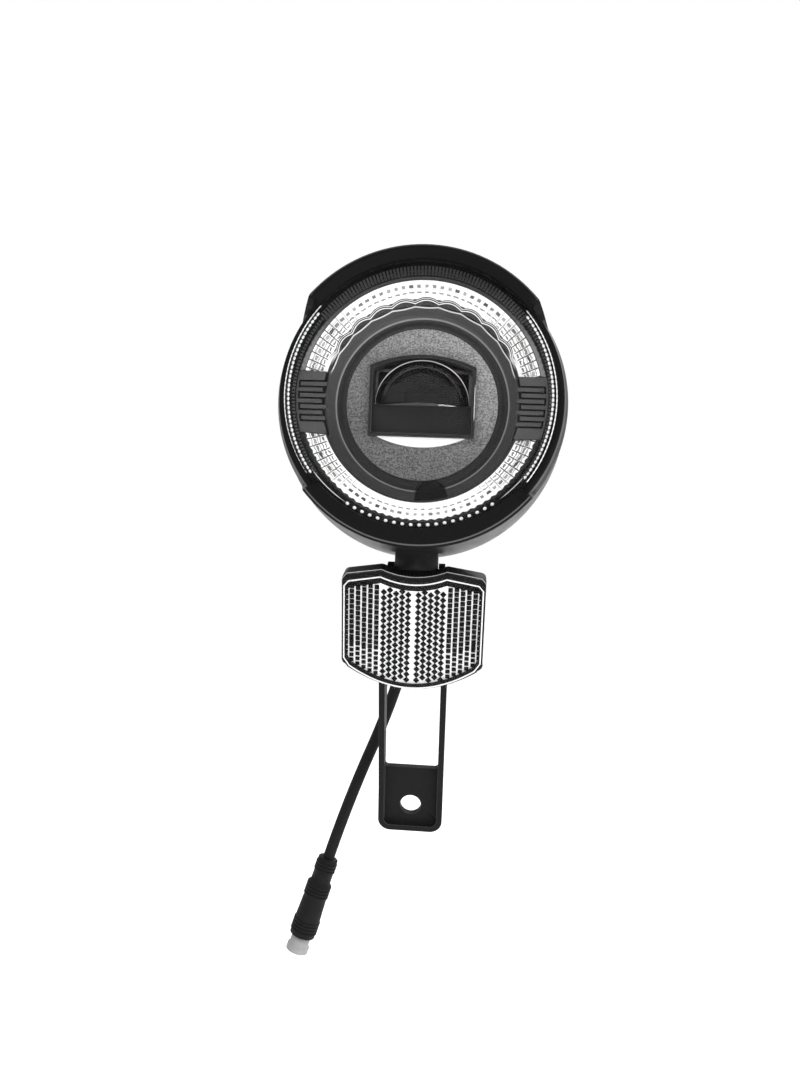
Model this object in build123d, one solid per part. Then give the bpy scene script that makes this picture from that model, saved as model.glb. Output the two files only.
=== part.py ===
from build123d import *
import math
import os

# Bicycle headlight on a pressed bracket, with a prismatic reflector under the lamp and a short cable.
# Millimetres, +Z up, the lamp faces -Y and +X is to the right of someone who looks at its front.
# The origin is the centre of the bolt hole in the bracket.

os.makedirs("parts", exist_ok=True)

# Fits between pieces
SLIDE_GAP = 0.1          # between pieces that drop into each other
SIDE_GAP = 0.3           # between the foot and each arm
PIVOT_GAP = 0.05         # bolt in the bush, all round
SCREW_GAP = 0.05         # screw in its hole, all round

# Bracket, in its own upright frame with the bolt hole at the origin
LEAN = 15.0              # degrees that the bracket leans back at the bottom
SHEET = 1.8
PLATE_WIDTH = 20.0
CLAMP_WIDTH = 16.4       # outside of the arms at the pivot
BOLT_HOLE_RADIUS = 3.25
HOLE_TO_BOTTOM = 8.2
HOLE_TO_WINDOW = 13.0
WINDOW_HEIGHT = 32.0
BRIDGE_HEIGHT = 17.0     # web above the window
PLATE_CORNER = 3.8
WINDOW_CORNER = 1.0
RIM_HEIGHT = 2.0         # rim in front of the plate
ARM_MIDDLE_DEPTH = 9.0   # arm depth half way up
PIVOT_HEIGHT = 74.5      # bolt hole to pivot
PIVOT_FORWARD = 5.0      # pivot in front of the middle of the plate
JOG_HEIGHT = 17.0        # length of the stretch where the arms draw in
JOG_BELOW_PIVOT = 12.0
JOG_RADIUS = 12.0

# Pivot clamp
PIVOT_BOLT_RADIUS = 2.5
BOLT_HEAD_RADIUS = 4.2
BOLT_HEAD_HEIGHT = 3.0
BOLT_SOCKET_FLATS = 3.0
BOLT_SOCKET_DEPTH = 1.8
WASHER_RADIUS = 4.4
WASHER_THICKNESS = 0.8
NUT_FLATS = 8.0
NUT_HEIGHT = 3.2
BOLT_TAIL = 1.2
BUSH_WALL = 0.95

# Reflector under the lamp
REFLECTOR_WIDTH = 39.6
REFLECTOR_TOP = 7.3      # shoulders above the pivot
REFLECTOR_HEIGHT = 34.6
SHOULDER_HALF = 9.0
SHOULDER_DIP = 1.9
CORNER_DROP = 1.7        # top corners below the shoulders
BOTTOM_SAG = 7.0
REFLECTOR_CORNER = 1.6
CARRIER_WALL = 1.4
CARRIER_DEPTH = 5.5
REFLECTOR_GLASS = 2.6    # thickness of the clear front
PRISM_DEPTH = 2.0        # prisms behind the clear front
POST_RADIUS = 3.4
POST_BELOW_PIVOT = 21.0
REFLECTOR_SCREW_RADIUS = 1.5
REFLECTOR_SCREW_BITE = 7.0
SCREW_HEAD_RADIUS = 2.8  # countersunk, below the back of the sheet
SCREW_HEAD_RIM = 0.3
SCREW_HEAD_SET = 0.1
SCREW_SOCKET_FLATS = 2.0
SCREW_SOCKET_DEPTH = 1.1

# Lamp head, in its own frame: y is the depth behind the front rim, z is up from the lamp axis
PIVOT_DEPTH = 17.6
LAMP_RADIUS = 40.0
PIVOT_BELOW_RIM = 10.05
RIM_DRAFT = 1.9          # front rim smaller than the widest ring
DRAFT_LENGTH = 7.5
BEZEL_LENGTH = 9.2
BEZEL_WALL = 1.7
BEZEL_EDGE = 0.6
HOOD_REACH = 7.0
HOOD_INSET = 0.7         # from the lamp's radius to the outside of the hood
HOOD_ANGLE = 55.0        # middle of the slope at each end, from the top
HOOD_RUN = 8.0           # length of that slope round the ring
RIM_SPARE = 8.0          # degrees of hood or lip past its slope, which the slope takes away
CHIN_REACH = 2.0         # lip below the lens
CHIN_INSET = 0.2
CHIN_ANGLE = 128.0
CHIN_RUN = 3.0
CHIN_RIM = 3.0           # from the lamp's radius to the lip's inner edge
CHIN_RAISE = 2.5         # that edge's centre above the lamp axis
HOOD_EDGE = 0.7
CHIN_EDGE = 1.0
HOOD_SHOULDER = 3.0      # roundings at the high and the low end of its slopes
HOOD_FOOT = 6.0
CHIN_SHOULDER = 1.0
CHIN_FOOT = 0.6

BEZEL_RIM = 3.5          # from the lamp's radius to the lens edge
LENS_RAISE = 0.9         # lens centre above the lamp axis
LENS_THICKNESS = 2.0
LENS_CROWN = 1.2
LENS_SET = 0.2           # lens edge behind the front rim
SEAL_THICKNESS = 0.4
RIM_RING_WIDTH = 2.1
RIM_RING_THICKNESS = 1.4
LEDGE_THICKNESS = 1.4
LEDGE_OVERLAP = 0.3      # ledge hole larger than the rim ring's hole

GUIDE_INSET = 3.9        # from the lens edge to the guides
GUIDE_WIDTH = 5.7
GUIDE_FRONT = 2.7        # depth of the outer front edge
GUIDE_FALL = 3.8         # inner edge deeper than the outer
GUIDE_LENGTH = 8.7
GUIDE_TAPER_OUTER = 1.2  # the guides narrow towards the back
GUIDE_TAPER_INNER = 1.3
UPPER_CUT = 7.5          # the upper guide's ends are level, this high
LOWER_CUT = -9.6

MASK_WALL = 1.4
FLOOR_DEPTH = 7.0        # floor of the side bridges
BOWL_DEPTH = 10.8
STEP_INSET = 2.9         # fine step round the bowl, inside the guides
STEP_WIDTH = 0.3
STEP_HEIGHT = 0.4
PLATE_INSET = 2.9        # textured centre plate, inside the step
PLATE_DEPTH = 9.9
PLATE_THICKNESS = 1.5
PLATE_SEAT = 1.2
MASK_POST_RADIUS = 1.7
MASK_POST_OUTSET = 2.1   # middle of the posts outside the guides
SENSOR_X = 3.6
SENSOR_RADIUS = 4.6
SENSOR_PROUD = 0.2

GRILLE_FLOOR = 4.2       # depth of the floor of the grooves
BAR_HEIGHT = 1.05
BAR_PITCH = 3.1
BAR_COUNT = 4            # free bars on each side
BAR_PROUD = 1.2          # bars and fingers in front of that floor
BAR_REACH = 1.1          # free bars, inside the guides' inner edge
BAR_GROOVE = 0.5         # groove round each free bar
BAR_STRIP = 0.6          # strip that joins the fingers, along the collar
BARS_RAISE = 0.25        # above the middle of the panel

BOARD_INSIDE = 1.4       # board inside the guides' inner edge
BOARD_OUTSIDE = 1.2      # and outside the middle of its screws
BOARD_THICKNESS = 1.2
LIGHT_HEIGHT = 0.8
LIGHT_SIZE = 1.6
LIGHT_COUNT = 11         # on each half of the ring
LIGHT_SPAN = 130.0       # degrees
BOARD_SCREW_RADIUS = 0.9
BOARD_SCREW_HEAD = 1.7
BOARD_SCREW_LENGTH = 4.0

PROJECTOR_RAISE = 0.7
FRAME_WIDTH_SHARE = 0.697   # of the centre plate's width
FRAME_HEIGHT_SHARE = 0.462
FRAME_ARCH = 3.2
FRAME_WALL = 0.9
FRAME_PROUD = 1.7
FRAME_FLANGE = 0.8
FRAME_FLANGE_THICKNESS = 1.4
LIP_WIDTH_SHARE = 0.83   # of the frame's width
LIP_SAG = 2.7
LIP_PROUD = 0.8
PROJECTOR_LENS_GAP = 0.4
PROJECTOR_LENS_APEX = 4.2
PROJECTOR_LENS_CURVE = 1.3   # radius of its front, as a share of its half width
PROJECTOR_SPLIT = -0.7   # bottom of the lens above the middle of the frame
SHADE_THICKNESS = 2.2

COLLECTOR_LENGTH = 11.4
COLLECTOR_WALL = 1.0
COLLECTOR_BACK = 9.0
LED_BOARD_WIDTH = 20.0
LED_BOARD_HEIGHT = 18.0
LED_BOARD_THICKNESS = 1.6
LED_SIZE = 3.5
LED_HEIGHT = 0.8
SINK_WIDTH = 36.0
SINK_HEIGHT = 22.0
SINK_BASE = 3.0
SINK_FINS = 7
FIN_THICKNESS = 1.3
FIN_PITCH = 3.3
FIN_LENGTH = 7.5
SINK_SCREW_X = 14.6
SINK_SCREW_RADIUS = 1.2
SINK_SCREW_HEAD = 2.3
SINK_SCREW_BITE = 6.0
SINK_POST_RADIUS = 3.2

DRIVER_WIDTH = 30.0
DRIVER_DEPTH = 12.0
DRIVER_FRONT = 17.0
DRIVER_RISE = 15.0       # top of the board above the lamp's lowest point
DRIVER_RIB_X = 11.0
DRIVER_RIB_WIDTH = 3.0
# blocks on the driver board: place along x, width, depth and height
BOARD_BLOCKS = [(-10.5, 5.0, 6.0, 3.5), (-4.4, 2.0, 5.0, 2.5), (4.5, 4.0, 5.0, 1.5)]
CAPACITOR_X = 10.5
CAPACITOR_RADIUS = 3.0
CAPACITOR_HEIGHT = 6.0
WIRE_RADIUS = 0.6
WIRE_SPACING = 1.6
WIRE_LOOP = 3.0          # height of the wires' loops over the driver board
WIRE_BEND = 1.0

HOUSING_WALL = 2.0
BACK_EDGE = 4.0          # rounding of the housing's back
SEAL_STEP = 0.6          # thickness of the flat seal between bezel and housing
SPIGOT_WALL = 1.5
# outer sections of the bowl: distance behind its front edge, radius beyond the lamp's, drop of the centre
HOUSING_SECTIONS = [(0.0, -0.3, 0.0), (5.2, 0.2, 1.6), (12.2, -0.7, 3.5), (21.2, -5.5, 2.8),
                    (28.2, -14.0, 1.6), (33.2, -26.0, 0.6)]
FOOT_NOSE = 3.4          # front of the foot ahead of the pivot
FOOT_TAIL = 7.5          # back of the foot behind the pivot, where it joins the bowl
FOOT_EYE_WALL = 1.75     # foot outside the bush
FOOT_RISE = 14.0

# Cable exit in the lower back of the bowl, and what is on the cable
EXIT_X = -1.0
EXIT_DEPTH = 35.5
EXIT_INSET = 7.0         # exit above the lamp's lowest point
EXIT_SLOPE = 45.0        # degrees below level
EXIT_BOSS_RADIUS = 6.0
EXIT_BOSS_LENGTH = 7.0
GROMMET_NECK = 3.4
GROMMET_NECK_LENGTH = 5.0
GROMMET_FLANGE = 5.0
GROMMET_FLANGE_THICKNESS = 1.5
GROMMET_TAPER_START = 3.9
GROMMET_TAPER_END = 2.6
GROMMET_LENGTH = 12.0    # from the boss to the tip
GROMMET_RINGS = 4
GROMMET_RING_SHARE = 0.6 # of the pitch
CABLE_RADIUS = 1.9
PLUG_LENGTH = 26.5
PLUG_COLLAR_RADIUS = 3.3
PLUG_COLLAR_LENGTH = 8.0
PLUG_COLLAR_RIBS = 3
PLUG_COLLAR_START = 1.5
PLUG_SLOPE = 0.6         # between its widths
PLUG_LAND = 0.4          # plain length beside each set of ribs
PLUG_BODY_RADIUS = 3.9
PLUG_END_RADIUS = 4.2
RIB_HEIGHT = 0.25
RIB_PITCH = 1.1
RIB_COUNT = 4
SLEEVE_RADIUS = 3.2
SLEEVE_END_RADIUS = 3.7
SLEEVE_LENGTH = 5.5
SLEEVE_STEP = 3.1
SLEEVE_BORE = 2.8
SLEEVE_BORE_DEPTH = 4.3
PIN_RADIUS = 0.35
PIN_CIRCLE = 1.4
PIN_LENGTH = 3.0
PIN_COUNT = 5

# The cable's route from the grommet's tip to the plug, in the frame of the whole part. The first run
# follows the exit's line and the plug follows the last run.
FIRST_RUN = 12.0
ARC_SHARE = 0.45         # of the shorter run beside a corner, taken up by its arc
CABLE_POINTS = [(-2.45, 15.0, 51.9), (-8.3, 15.0, 28.1), (-21.5, 14.3, -5.1), (-27.2, 13.4, -24.1)]

# Depths and places that follow from the sizes
FRONT_RADIUS = LAMP_RADIUS - RIM_DRAFT
PIVOT_DROP = LAMP_RADIUS + PIVOT_BELOW_RIM
CHIN_OPENING = LAMP_RADIUS - CHIN_RIM
LENS_RADIUS = LAMP_RADIUS - BEZEL_RIM
GUIDE_OUTER = LENS_RADIUS - GUIDE_INSET
GUIDE_INNER = GUIDE_OUTER - GUIDE_WIDTH
GUIDE_BACK_OUTER = GUIDE_OUTER - GUIDE_TAPER_OUTER
GUIDE_BACK_INNER = GUIDE_INNER + GUIDE_TAPER_INNER
STEP_RADIUS = GUIDE_INNER - STEP_INSET
PLATE_RADIUS = STEP_RADIUS - PLATE_INSET
MASK_POST_CIRCLE = GUIDE_OUTER + MASK_POST_OUTSET
BAR_INNER = GUIDE_INNER - BAR_REACH
RING_BOARD_INNER = GUIDE_INNER - BOARD_INSIDE
RING_BOARD_OUTER = MASK_POST_CIRCLE + BOARD_OUTSIDE
FRAME_HALF_WIDTH = PLATE_RADIUS * FRAME_WIDTH_SHARE
FRAME_HALF_HEIGHT = PLATE_RADIUS * FRAME_HEIGHT_SHARE
LIP_HALF_WIDTH = FRAME_HALF_WIDTH * LIP_WIDTH_SHARE
PROJECTOR_LENS_HALF = FRAME_HALF_WIDTH - FRAME_WALL - PROJECTOR_LENS_GAP
PROJECTOR_LENS_HEIGHT = FRAME_HALF_HEIGHT - PROJECTOR_SPLIT + FRAME_ARCH - FRAME_WALL - PROJECTOR_LENS_GAP
EXIT_DROP = LAMP_RADIUS - EXIT_INSET
DRIVER_TOP = DRIVER_RISE - LAMP_RADIUS
PLATE_FACE = SHEET / 2
ARM_INNER = CLAMP_WIDTH / 2 - SHEET
EYE_RADIUS = PIVOT_FORWARD + PLATE_FACE
ARM_FRONT = -(PIVOT_FORWARD + EYE_RADIUS)
BRIDGE_TOP = HOLE_TO_WINDOW + WINDOW_HEIGHT + BRIDGE_HEIGHT
POST_HEIGHT = PIVOT_HEIGHT - POST_BELOW_PIVOT
SEAT_RADIUS = LENS_RADIUS + SEAL_THICKNESS
LENS_BACK = LENS_SET + LENS_THICKNESS
LEDGE_FRONT = LENS_BACK + RIM_RING_THICKNESS
LEDGE_BACK = LEDGE_FRONT + LEDGE_THICKNESS
FLANGE_BACK = LEDGE_BACK + MASK_WALL
RIM_RING_HOLE = LENS_RADIUS - SLIDE_GAP - RIM_RING_WIDTH
COLLAR_RADIUS = RIM_RING_HOLE - SLIDE_GAP
BEZEL_BORE = LAMP_RADIUS - BEZEL_WALL
SPIGOT_RADIUS = BEZEL_BORE - SLIDE_GAP
HOUSING_FRONT = BEZEL_LENGTH + SEAL_STEP
GUIDE_BACK = GUIDE_FRONT + GUIDE_LENGTH
RING_BOARD_FRONT = GUIDE_BACK + LIGHT_HEIGHT + SLIDE_GAP
PLATE_BACK = PLATE_DEPTH + PLATE_THICKNESS
FRAME_BACK = PLATE_BACK + FRAME_FLANGE_THICKNESS
COLLECTOR_END = FRAME_BACK + COLLECTOR_LENGTH
LED_BOARD_BACK = COLLECTOR_END + LED_BOARD_THICKNESS
SINK_BACK = LED_BOARD_BACK + SINK_BASE
FOOT_HALF = ARM_INNER - SIDE_GAP
BUSH_BORE = PIVOT_BOLT_RADIUS + PIVOT_GAP
BUSH_RADIUS = BUSH_BORE + BUSH_WALL
DRIVER_BOTTOM = DRIVER_TOP - BOARD_THICKNESS
FAR = 200.0              # longer than anything that it cuts


def across(sketch, y_from, y_to):
    """A solid from a sketch in (x, z), between two depths."""
    return extrude(Plane.XZ.offset(-y_to) * sketch, y_to - y_from)


def sideways(sketch, x_from, x_to):
    """A solid from a sketch in (y, z), between two places along x."""
    return extrude(Plane.YZ.offset(x_from) * sketch, x_to - x_from)


def outline(points, radii=0.0):
    """A closed sketch through points, with rounded corners."""
    if radii == 0.0:
        return make_face(Polyline(*points, close=True))
    return make_face(FilletPolyline(*points, radius=radii, close=True))


def turned(points, radii=0.0):
    """A closed (radius, depth) outline turned about the lamp axis, which lies along y."""
    return revolve(outline(points, radii), Axis.Y)


def disc(radius, y_from, y_to, x=0.0, z=0.0):
    return across(Pos(x, z) * Circle(radius), y_from, y_to)


def tube(outer, inner, y_from, y_to, z=0.0):
    return disc(outer, y_from, y_to, z=z) - disc(inner, y_from, y_to, z=z)


def block(x_from, x_to, y_from, y_to, z_from, z_to):
    size = (x_to - x_from, y_to - y_from, z_to - z_from)
    middle = Pos((x_from + x_to) / 2, (y_from + y_to) / 2, (z_from + z_to) / 2)
    return middle * Box(*size)


def on_circle(radius, angle):
    """(x, z) on a circle about the lamp axis, angle in degrees from +x towards +z."""
    return radius * math.cos(math.radians(angle)), radius * math.sin(math.radians(angle))


def bar_along_x(radius, x_from, x_to):
    return sideways(Circle(radius), x_from, x_to)


def post_up(radius, z_from, z_to):
    return Pos(0, 0, z_from) * Cylinder(radius, z_to - z_from, align=(Align.CENTER, Align.CENTER, Align.MIN))


# Where the lamp and the bracket stand in the frame of the whole part
BRACKET = Rot(LEAN, 0, 0)
PIVOT_IN_BRACKET = Pos(0, -PIVOT_FORWARD, PIVOT_HEIGHT)
PIVOT = (BRACKET * PIVOT_IN_BRACKET).position
LAMP = Pos(0, PIVOT.Y - PIVOT_DEPTH, PIVOT.Z + PIVOT_DROP)


def bracket_plan(inset):
    """The bracket seen square to its plate, drawn in by an inset."""
    side = PLATE_WIDTH / 2 - inset
    clamp = CLAMP_WIDTH / 2 - inset
    bottom = inset - HOLE_TO_BOTTOM
    top = PIVOT_HEIGHT + 2 * EYE_RADIUS
    jog_top = PIVOT_HEIGHT - JOG_BELOW_PIVOT
    corner = max(PLATE_CORNER - inset, SHEET / 4)
    right = [(clamp, top), (clamp, jog_top), (side, jog_top - JOG_HEIGHT), (side, bottom)]
    left = [(-x, z) for x, z in reversed(right)]
    return outline(right + left, [0, JOG_RADIUS, JOG_RADIUS, corner, corner, JOG_RADIUS, JOG_RADIUS, 0])


def arm_side():
    """The arms seen from the side: a low rim at the plate that grows to a round eye at the pivot."""
    rim = -(PLATE_FACE + RIM_HEIGHT)
    middle = (HOLE_TO_WINDOW + PIVOT_HEIGHT) / 2
    points = [(PLATE_FACE, -HOLE_TO_BOTTOM), (rim, -HOLE_TO_BOTTOM), (rim, HOLE_TO_WINDOW / 2),
              (PLATE_FACE - ARM_MIDDLE_DEPTH, middle), (ARM_FRONT, PIVOT_HEIGHT - EYE_RADIUS),
              (ARM_FRONT, PIVOT_HEIGHT), (PLATE_FACE, PIVOT_HEIGHT)]
    return outline(points) + Pos(-PIVOT_FORWARD, PIVOT_HEIGHT) * Circle(EYE_RADIUS)


def screw_form(grow):
    """The reflector's countersunk screw, or with some growth the hole for it, about the y axis."""
    back = PLATE_FACE - SCREW_HEAD_SET if grow == 0.0 else PLATE_FACE + grow
    head = SCREW_HEAD_RADIUS + grow
    shank = REFLECTOR_SCREW_RADIUS + grow
    tip = -PLATE_FACE - REFLECTOR_SCREW_BITE
    seat = PLATE_FACE - SCREW_HEAD_SET - SCREW_HEAD_RIM
    cone_end = seat - head + shank
    return turned([(0, back), (head, back), (head, seat), (shank, cone_end), (shank, tip), (0, tip)])


def bracket():
    depth = -ARM_FRONT + SHEET
    sheet = across(bracket_plan(0.0), -depth, PLATE_FACE)
    sheet -= across(bracket_plan(SHEET), -depth, -PLATE_FACE)
    sheet &= sideways(arm_side(), -PLATE_WIDTH, PLATE_WIDTH)
    window = RectangleRounded(PLATE_WIDTH - 2 * SHEET, WINDOW_HEIGHT, WINDOW_CORNER)
    window = Pos(0, HOLE_TO_WINDOW + WINDOW_HEIGHT / 2) * window & bracket_plan(SHEET)
    sheet -= across(window, -depth, depth)
    sheet -= block(-ARM_INNER, ARM_INNER, -depth, depth, BRIDGE_TOP, FAR)
    sheet -= disc(BOLT_HOLE_RADIUS, -depth, depth)
    sheet -= Pos(0, 0, POST_HEIGHT) * screw_form(SLIDE_GAP)
    sheet -= PIVOT_IN_BRACKET * bar_along_x(PIVOT_BOLT_RADIUS + SLIDE_GAP, -FAR, FAR)
    return BRACKET * sheet


def washer_faces():
    inner = CLAMP_WIDTH / 2
    return inner, inner + WASHER_THICKNESS


def pivot_bolt():
    outer = washer_faces()[1]
    shank = bar_along_x(PIVOT_BOLT_RADIUS, -(outer + NUT_HEIGHT + BOLT_TAIL), outer)
    head = bar_along_x(BOLT_HEAD_RADIUS, outer, outer + BOLT_HEAD_HEIGHT)
    head = fillet(head.edges().sort_by(Axis.X)[-1:], BOLT_HEAD_HEIGHT / 3)
    socket = RegularPolygon(BOLT_SOCKET_FLATS / 2, 6, major_radius=False)
    top = outer + BOLT_HEAD_HEIGHT
    bolt = shank + head - sideways(socket, top - BOLT_SOCKET_DEPTH, top + 1)
    return BRACKET * PIVOT_IN_BRACKET * bolt


def pivot_nut():
    outer = washer_faces()[1]
    hexagon = RegularPolygon(NUT_FLATS / 2, 6, major_radius=False) - Circle(PIVOT_BOLT_RADIUS + SCREW_GAP)
    return BRACKET * PIVOT_IN_BRACKET * sideways(hexagon, -(outer + NUT_HEIGHT), -outer)


def pivot_washers():
    inner, outer = washer_faces()
    ring = Circle(WASHER_RADIUS) - Circle(PIVOT_BOLT_RADIUS + SLIDE_GAP)
    return BRACKET * PIVOT_IN_BRACKET * (sideways(ring, -outer, -inner) + sideways(ring, inner, outer))


def reflector_plan(inset):
    """The reflector's outline: two shoulders with a dip between them, and a bowed lower edge."""
    half = REFLECTOR_WIDTH / 2 - inset
    top = PIVOT_HEIGHT + REFLECTOR_TOP - inset
    shoulder = SHOULDER_HALF
    side_top = top - CORNER_DROP
    bottom = PIVOT_HEIGHT + REFLECTOR_TOP - REFLECTOR_HEIGHT + inset
    side_bottom = bottom + BOTTOM_SAG
    edges = [Line((half, side_bottom), (half, side_top)), Line((half, side_top), (shoulder, top)),
             ThreePointArc((shoulder, top), (0, top - SHOULDER_DIP), (-shoulder, top)),
             Line((-shoulder, top), (-half, side_top)), Line((-half, side_top), (-half, side_bottom)),
             ThreePointArc((-half, side_bottom), (0, bottom), (half, side_bottom))]
    face = make_face(Curve() + edges)
    return fillet(face.vertices(), max(REFLECTOR_CORNER - inset, REFLECTOR_CORNER / 4))


def reflector_carrier():
    back = ARM_FRONT
    front = back - CARRIER_DEPTH
    tray = across(reflector_plan(0.0), front, back)
    tray -= across(reflector_plan(CARRIER_WALL), front, back - CARRIER_WALL)
    post = disc(POST_RADIUS, back - CARRIER_WALL, -PLATE_FACE, z=POST_HEIGHT)
    hole = disc(REFLECTOR_SCREW_RADIUS + SCREW_GAP, -PLATE_FACE - REFLECTOR_SCREW_BITE - 1, 0, z=POST_HEIGHT)
    return BRACKET * (tray + post - hole)


def reflector_lens():
    front_of_tray = ARM_FRONT - CARRIER_DEPTH
    cover = across(reflector_plan(0.0), front_of_tray - REFLECTOR_GLASS, front_of_tray)
    front_edges = cover.faces().sort_by(Axis.Y)[0].edges()
    cover = fillet(front_edges, REFLECTOR_GLASS / 4)
    prisms = across(reflector_plan(CARRIER_WALL + SLIDE_GAP), front_of_tray, front_of_tray + PRISM_DEPTH)
    return BRACKET * (cover + prisms)


def reflector_screw():
    face = PLATE_FACE - SCREW_HEAD_SET
    socket = RegularPolygon(SCREW_SOCKET_FLATS / 2, 6, major_radius=False)
    screw = screw_form(0.0) - across(socket, face - SCREW_SOCKET_DEPTH, PLATE_FACE)
    return BRACKET * (Pos(0, 0, POST_HEIGHT) * screw)


def slope_cut(angle, reach, run, shoulder, foot, way):
    """What is cut from a raised rim so that it slopes down into the side of the bezel. With way 1 the
    rim ends at that angle, and with way -1 it starts there, both counted from the top towards +x."""
    half = run / 2
    past = 2 * HOOD_RUN
    front = -2 * HOOD_REACH
    points = [(-past, -reach), (-half, -reach), (half, DRAFT_LENGTH), (past, DRAFT_LENGTH), (past, front),
              (-past, front)]
    face = outline(points, [0, shoulder, foot, 0, 0, 0])
    cutter = extrude(face, LAMP_RADIUS + HOOD_REACH) - extrude(face, GUIDE_INNER)
    if way < 0:
        cutter = mirror(cutter, Plane.YZ)
    return Rot(0, angle, 0) * cutter


def raised_rim(reach, inset, edge, angle_from, angle_to):
    """Part of a ring that stands forward of the front face, between two angles from the top."""
    inner = GUIDE_OUTER
    outer = LAMP_RADIUS - inset
    points = [(inner, -reach), (outer, -reach), (outer, DRAFT_LENGTH), (inner, DRAFT_LENGTH)]
    face = outline(points, [0, edge, 0, 0])
    return Rot(0, angle_from - 90, 0) * revolve(face, Axis.Y, angle_to - angle_from)


def front_bezel():
    points = [(0, 0), (FRONT_RADIUS, 0), (LAMP_RADIUS, DRAFT_LENGTH), (LAMP_RADIUS, BEZEL_LENGTH),
              (0, BEZEL_LENGTH)]
    body = turned(points, [0, BEZEL_EDGE, 0, 0, 0])
    hood_end = HOOD_ANGLE + RIM_SPARE
    hood = raised_rim(HOOD_REACH, HOOD_INSET, HOOD_EDGE, -hood_end, hood_end)
    for way in (1, -1):
        hood -= slope_cut(way * HOOD_ANGLE, HOOD_REACH, HOOD_RUN, HOOD_SHOULDER, HOOD_FOOT, way)
    hood -= disc(SEAT_RADIUS, -HOOD_REACH - 1, LEDGE_FRONT, z=LENS_RAISE)
    chin_end = CHIN_ANGLE - RIM_SPARE
    chin = raised_rim(CHIN_REACH, CHIN_INSET, CHIN_EDGE, chin_end, 360 - chin_end)
    for way in (1, -1):
        chin -= slope_cut(way * CHIN_ANGLE, CHIN_REACH, CHIN_RUN, CHIN_SHOULDER, CHIN_FOOT, -way)
    chin -= disc(CHIN_OPENING, -CHIN_REACH - 1, LEDGE_FRONT, z=CHIN_RAISE)
    chin -= disc(SEAT_RADIUS, -SLIDE_GAP, LEDGE_FRONT, z=LENS_RAISE)
    body -= disc(SEAT_RADIUS, -1, LEDGE_FRONT, z=LENS_RAISE)
    bezel = body + hood + chin
    bezel -= disc(RIM_RING_HOLE + LEDGE_OVERLAP, 0, LEDGE_BACK, z=LENS_RAISE)
    bezel -= disc(BEZEL_BORE, LEDGE_BACK, BEZEL_LENGTH)
    return LAMP * bezel


def front_lens():
    def face_arc(start):
        apex = (0, start - LENS_CROWN)
        middle = (LENS_RADIUS / 2, start - LENS_CROWN + LENS_CROWN / 4)
        return ThreePointArc(apex, middle, (LENS_RADIUS, start))

    front = face_arc(LENS_SET)
    back = face_arc(LENS_BACK)
    face = make_face(Curve() + [front, Line(front @ 1, back @ 1), back, Line(back @ 0, front @ 0)])
    return LAMP * Pos(0, 0, LENS_RAISE) * revolve(face, Axis.Y)


def lens_seal():
    return LAMP * tube(SEAT_RADIUS, LENS_RADIUS, LENS_SET + SEAL_THICKNESS / 2, LEDGE_FRONT, z=LENS_RAISE)


def rim_ring():
    outer = LENS_RADIUS - SLIDE_GAP
    return LAMP * tube(outer, RIM_RING_HOLE, LENS_BACK + SLIDE_GAP, LEDGE_FRONT, z=LENS_RAISE)


def guide_body(grow):
    """The whole ring of the running light, before it is cut into its two arcs."""
    points = [(GUIDE_OUTER + grow, GUIDE_FRONT - grow), (GUIDE_INNER - grow, GUIDE_FRONT + GUIDE_FALL - grow),
              (GUIDE_BACK_INNER - grow, GUIDE_BACK + grow), (GUIDE_BACK_OUTER + grow, GUIDE_BACK + grow)]
    return turned(points)


def light_guide(side):
    low, high = (UPPER_CUT, FAR) if side == "upper" else (-FAR, LOWER_CUT)
    return LAMP * (guide_body(0.0) & block(-FAR, FAR, -FAR, FAR, low, high))


def sensor_prism(inset):
    radius = SENSOR_RADIUS - inset
    top = -(PLATE_RADIUS + SLIDE_GAP + SENSOR_RADIUS)
    sketch = Pos(SENSOR_X, top) * Circle(radius)
    sketch += Pos(SENSOR_X, top - SENSOR_RADIUS) * Rectangle(2 * radius, 2 * SENSOR_RADIUS)
    outer = GUIDE_INNER - SLIDE_GAP - inset
    inner = PLATE_RADIUS + SLIDE_GAP + inset
    return across(sketch, 0, GUIDE_BACK) & tube(outer, inner, 0, GUIDE_BACK)


def bowl():
    """The stepped bowl and the ring that carries the light guides, as one turned shape."""
    slot_out = GUIDE_OUTER + SLIDE_GAP
    slot_in = GUIDE_INNER - SLIDE_GAP
    seat = PLATE_RADIUS + SLIDE_GAP
    lip_top = GUIDE_FRONT + GUIDE_FALL
    flange = SPIGOT_RADIUS - SLIDE_GAP
    step_top = BOWL_DEPTH - STEP_HEIGHT
    floor_back = FLOOR_DEPTH + MASK_WALL
    seat_back = PLATE_BACK + MASK_WALL
    points = [(flange, LEDGE_BACK), (slot_out, LEDGE_BACK), (slot_out, FLOOR_DEPTH), (slot_in, FLOOR_DEPTH),
              (slot_in, lip_top), (STEP_RADIUS + STEP_WIDTH, step_top), (STEP_RADIUS, step_top),
              (STEP_RADIUS, BOWL_DEPTH), (seat, PLATE_DEPTH), (seat, PLATE_BACK),
              (seat - PLATE_SEAT, PLATE_BACK), (seat - PLATE_SEAT, seat_back),
              (STEP_RADIUS - STEP_WIDTH, seat_back),
              (slot_in + MASK_WALL, floor_back), (slot_out + MASK_WALL, floor_back),
              (slot_out + MASK_WALL, FLANGE_BACK), (flange, FLANGE_BACK)]
    return turned(points)


def post_angles():
    return [45, 135, 225, 315]


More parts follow.
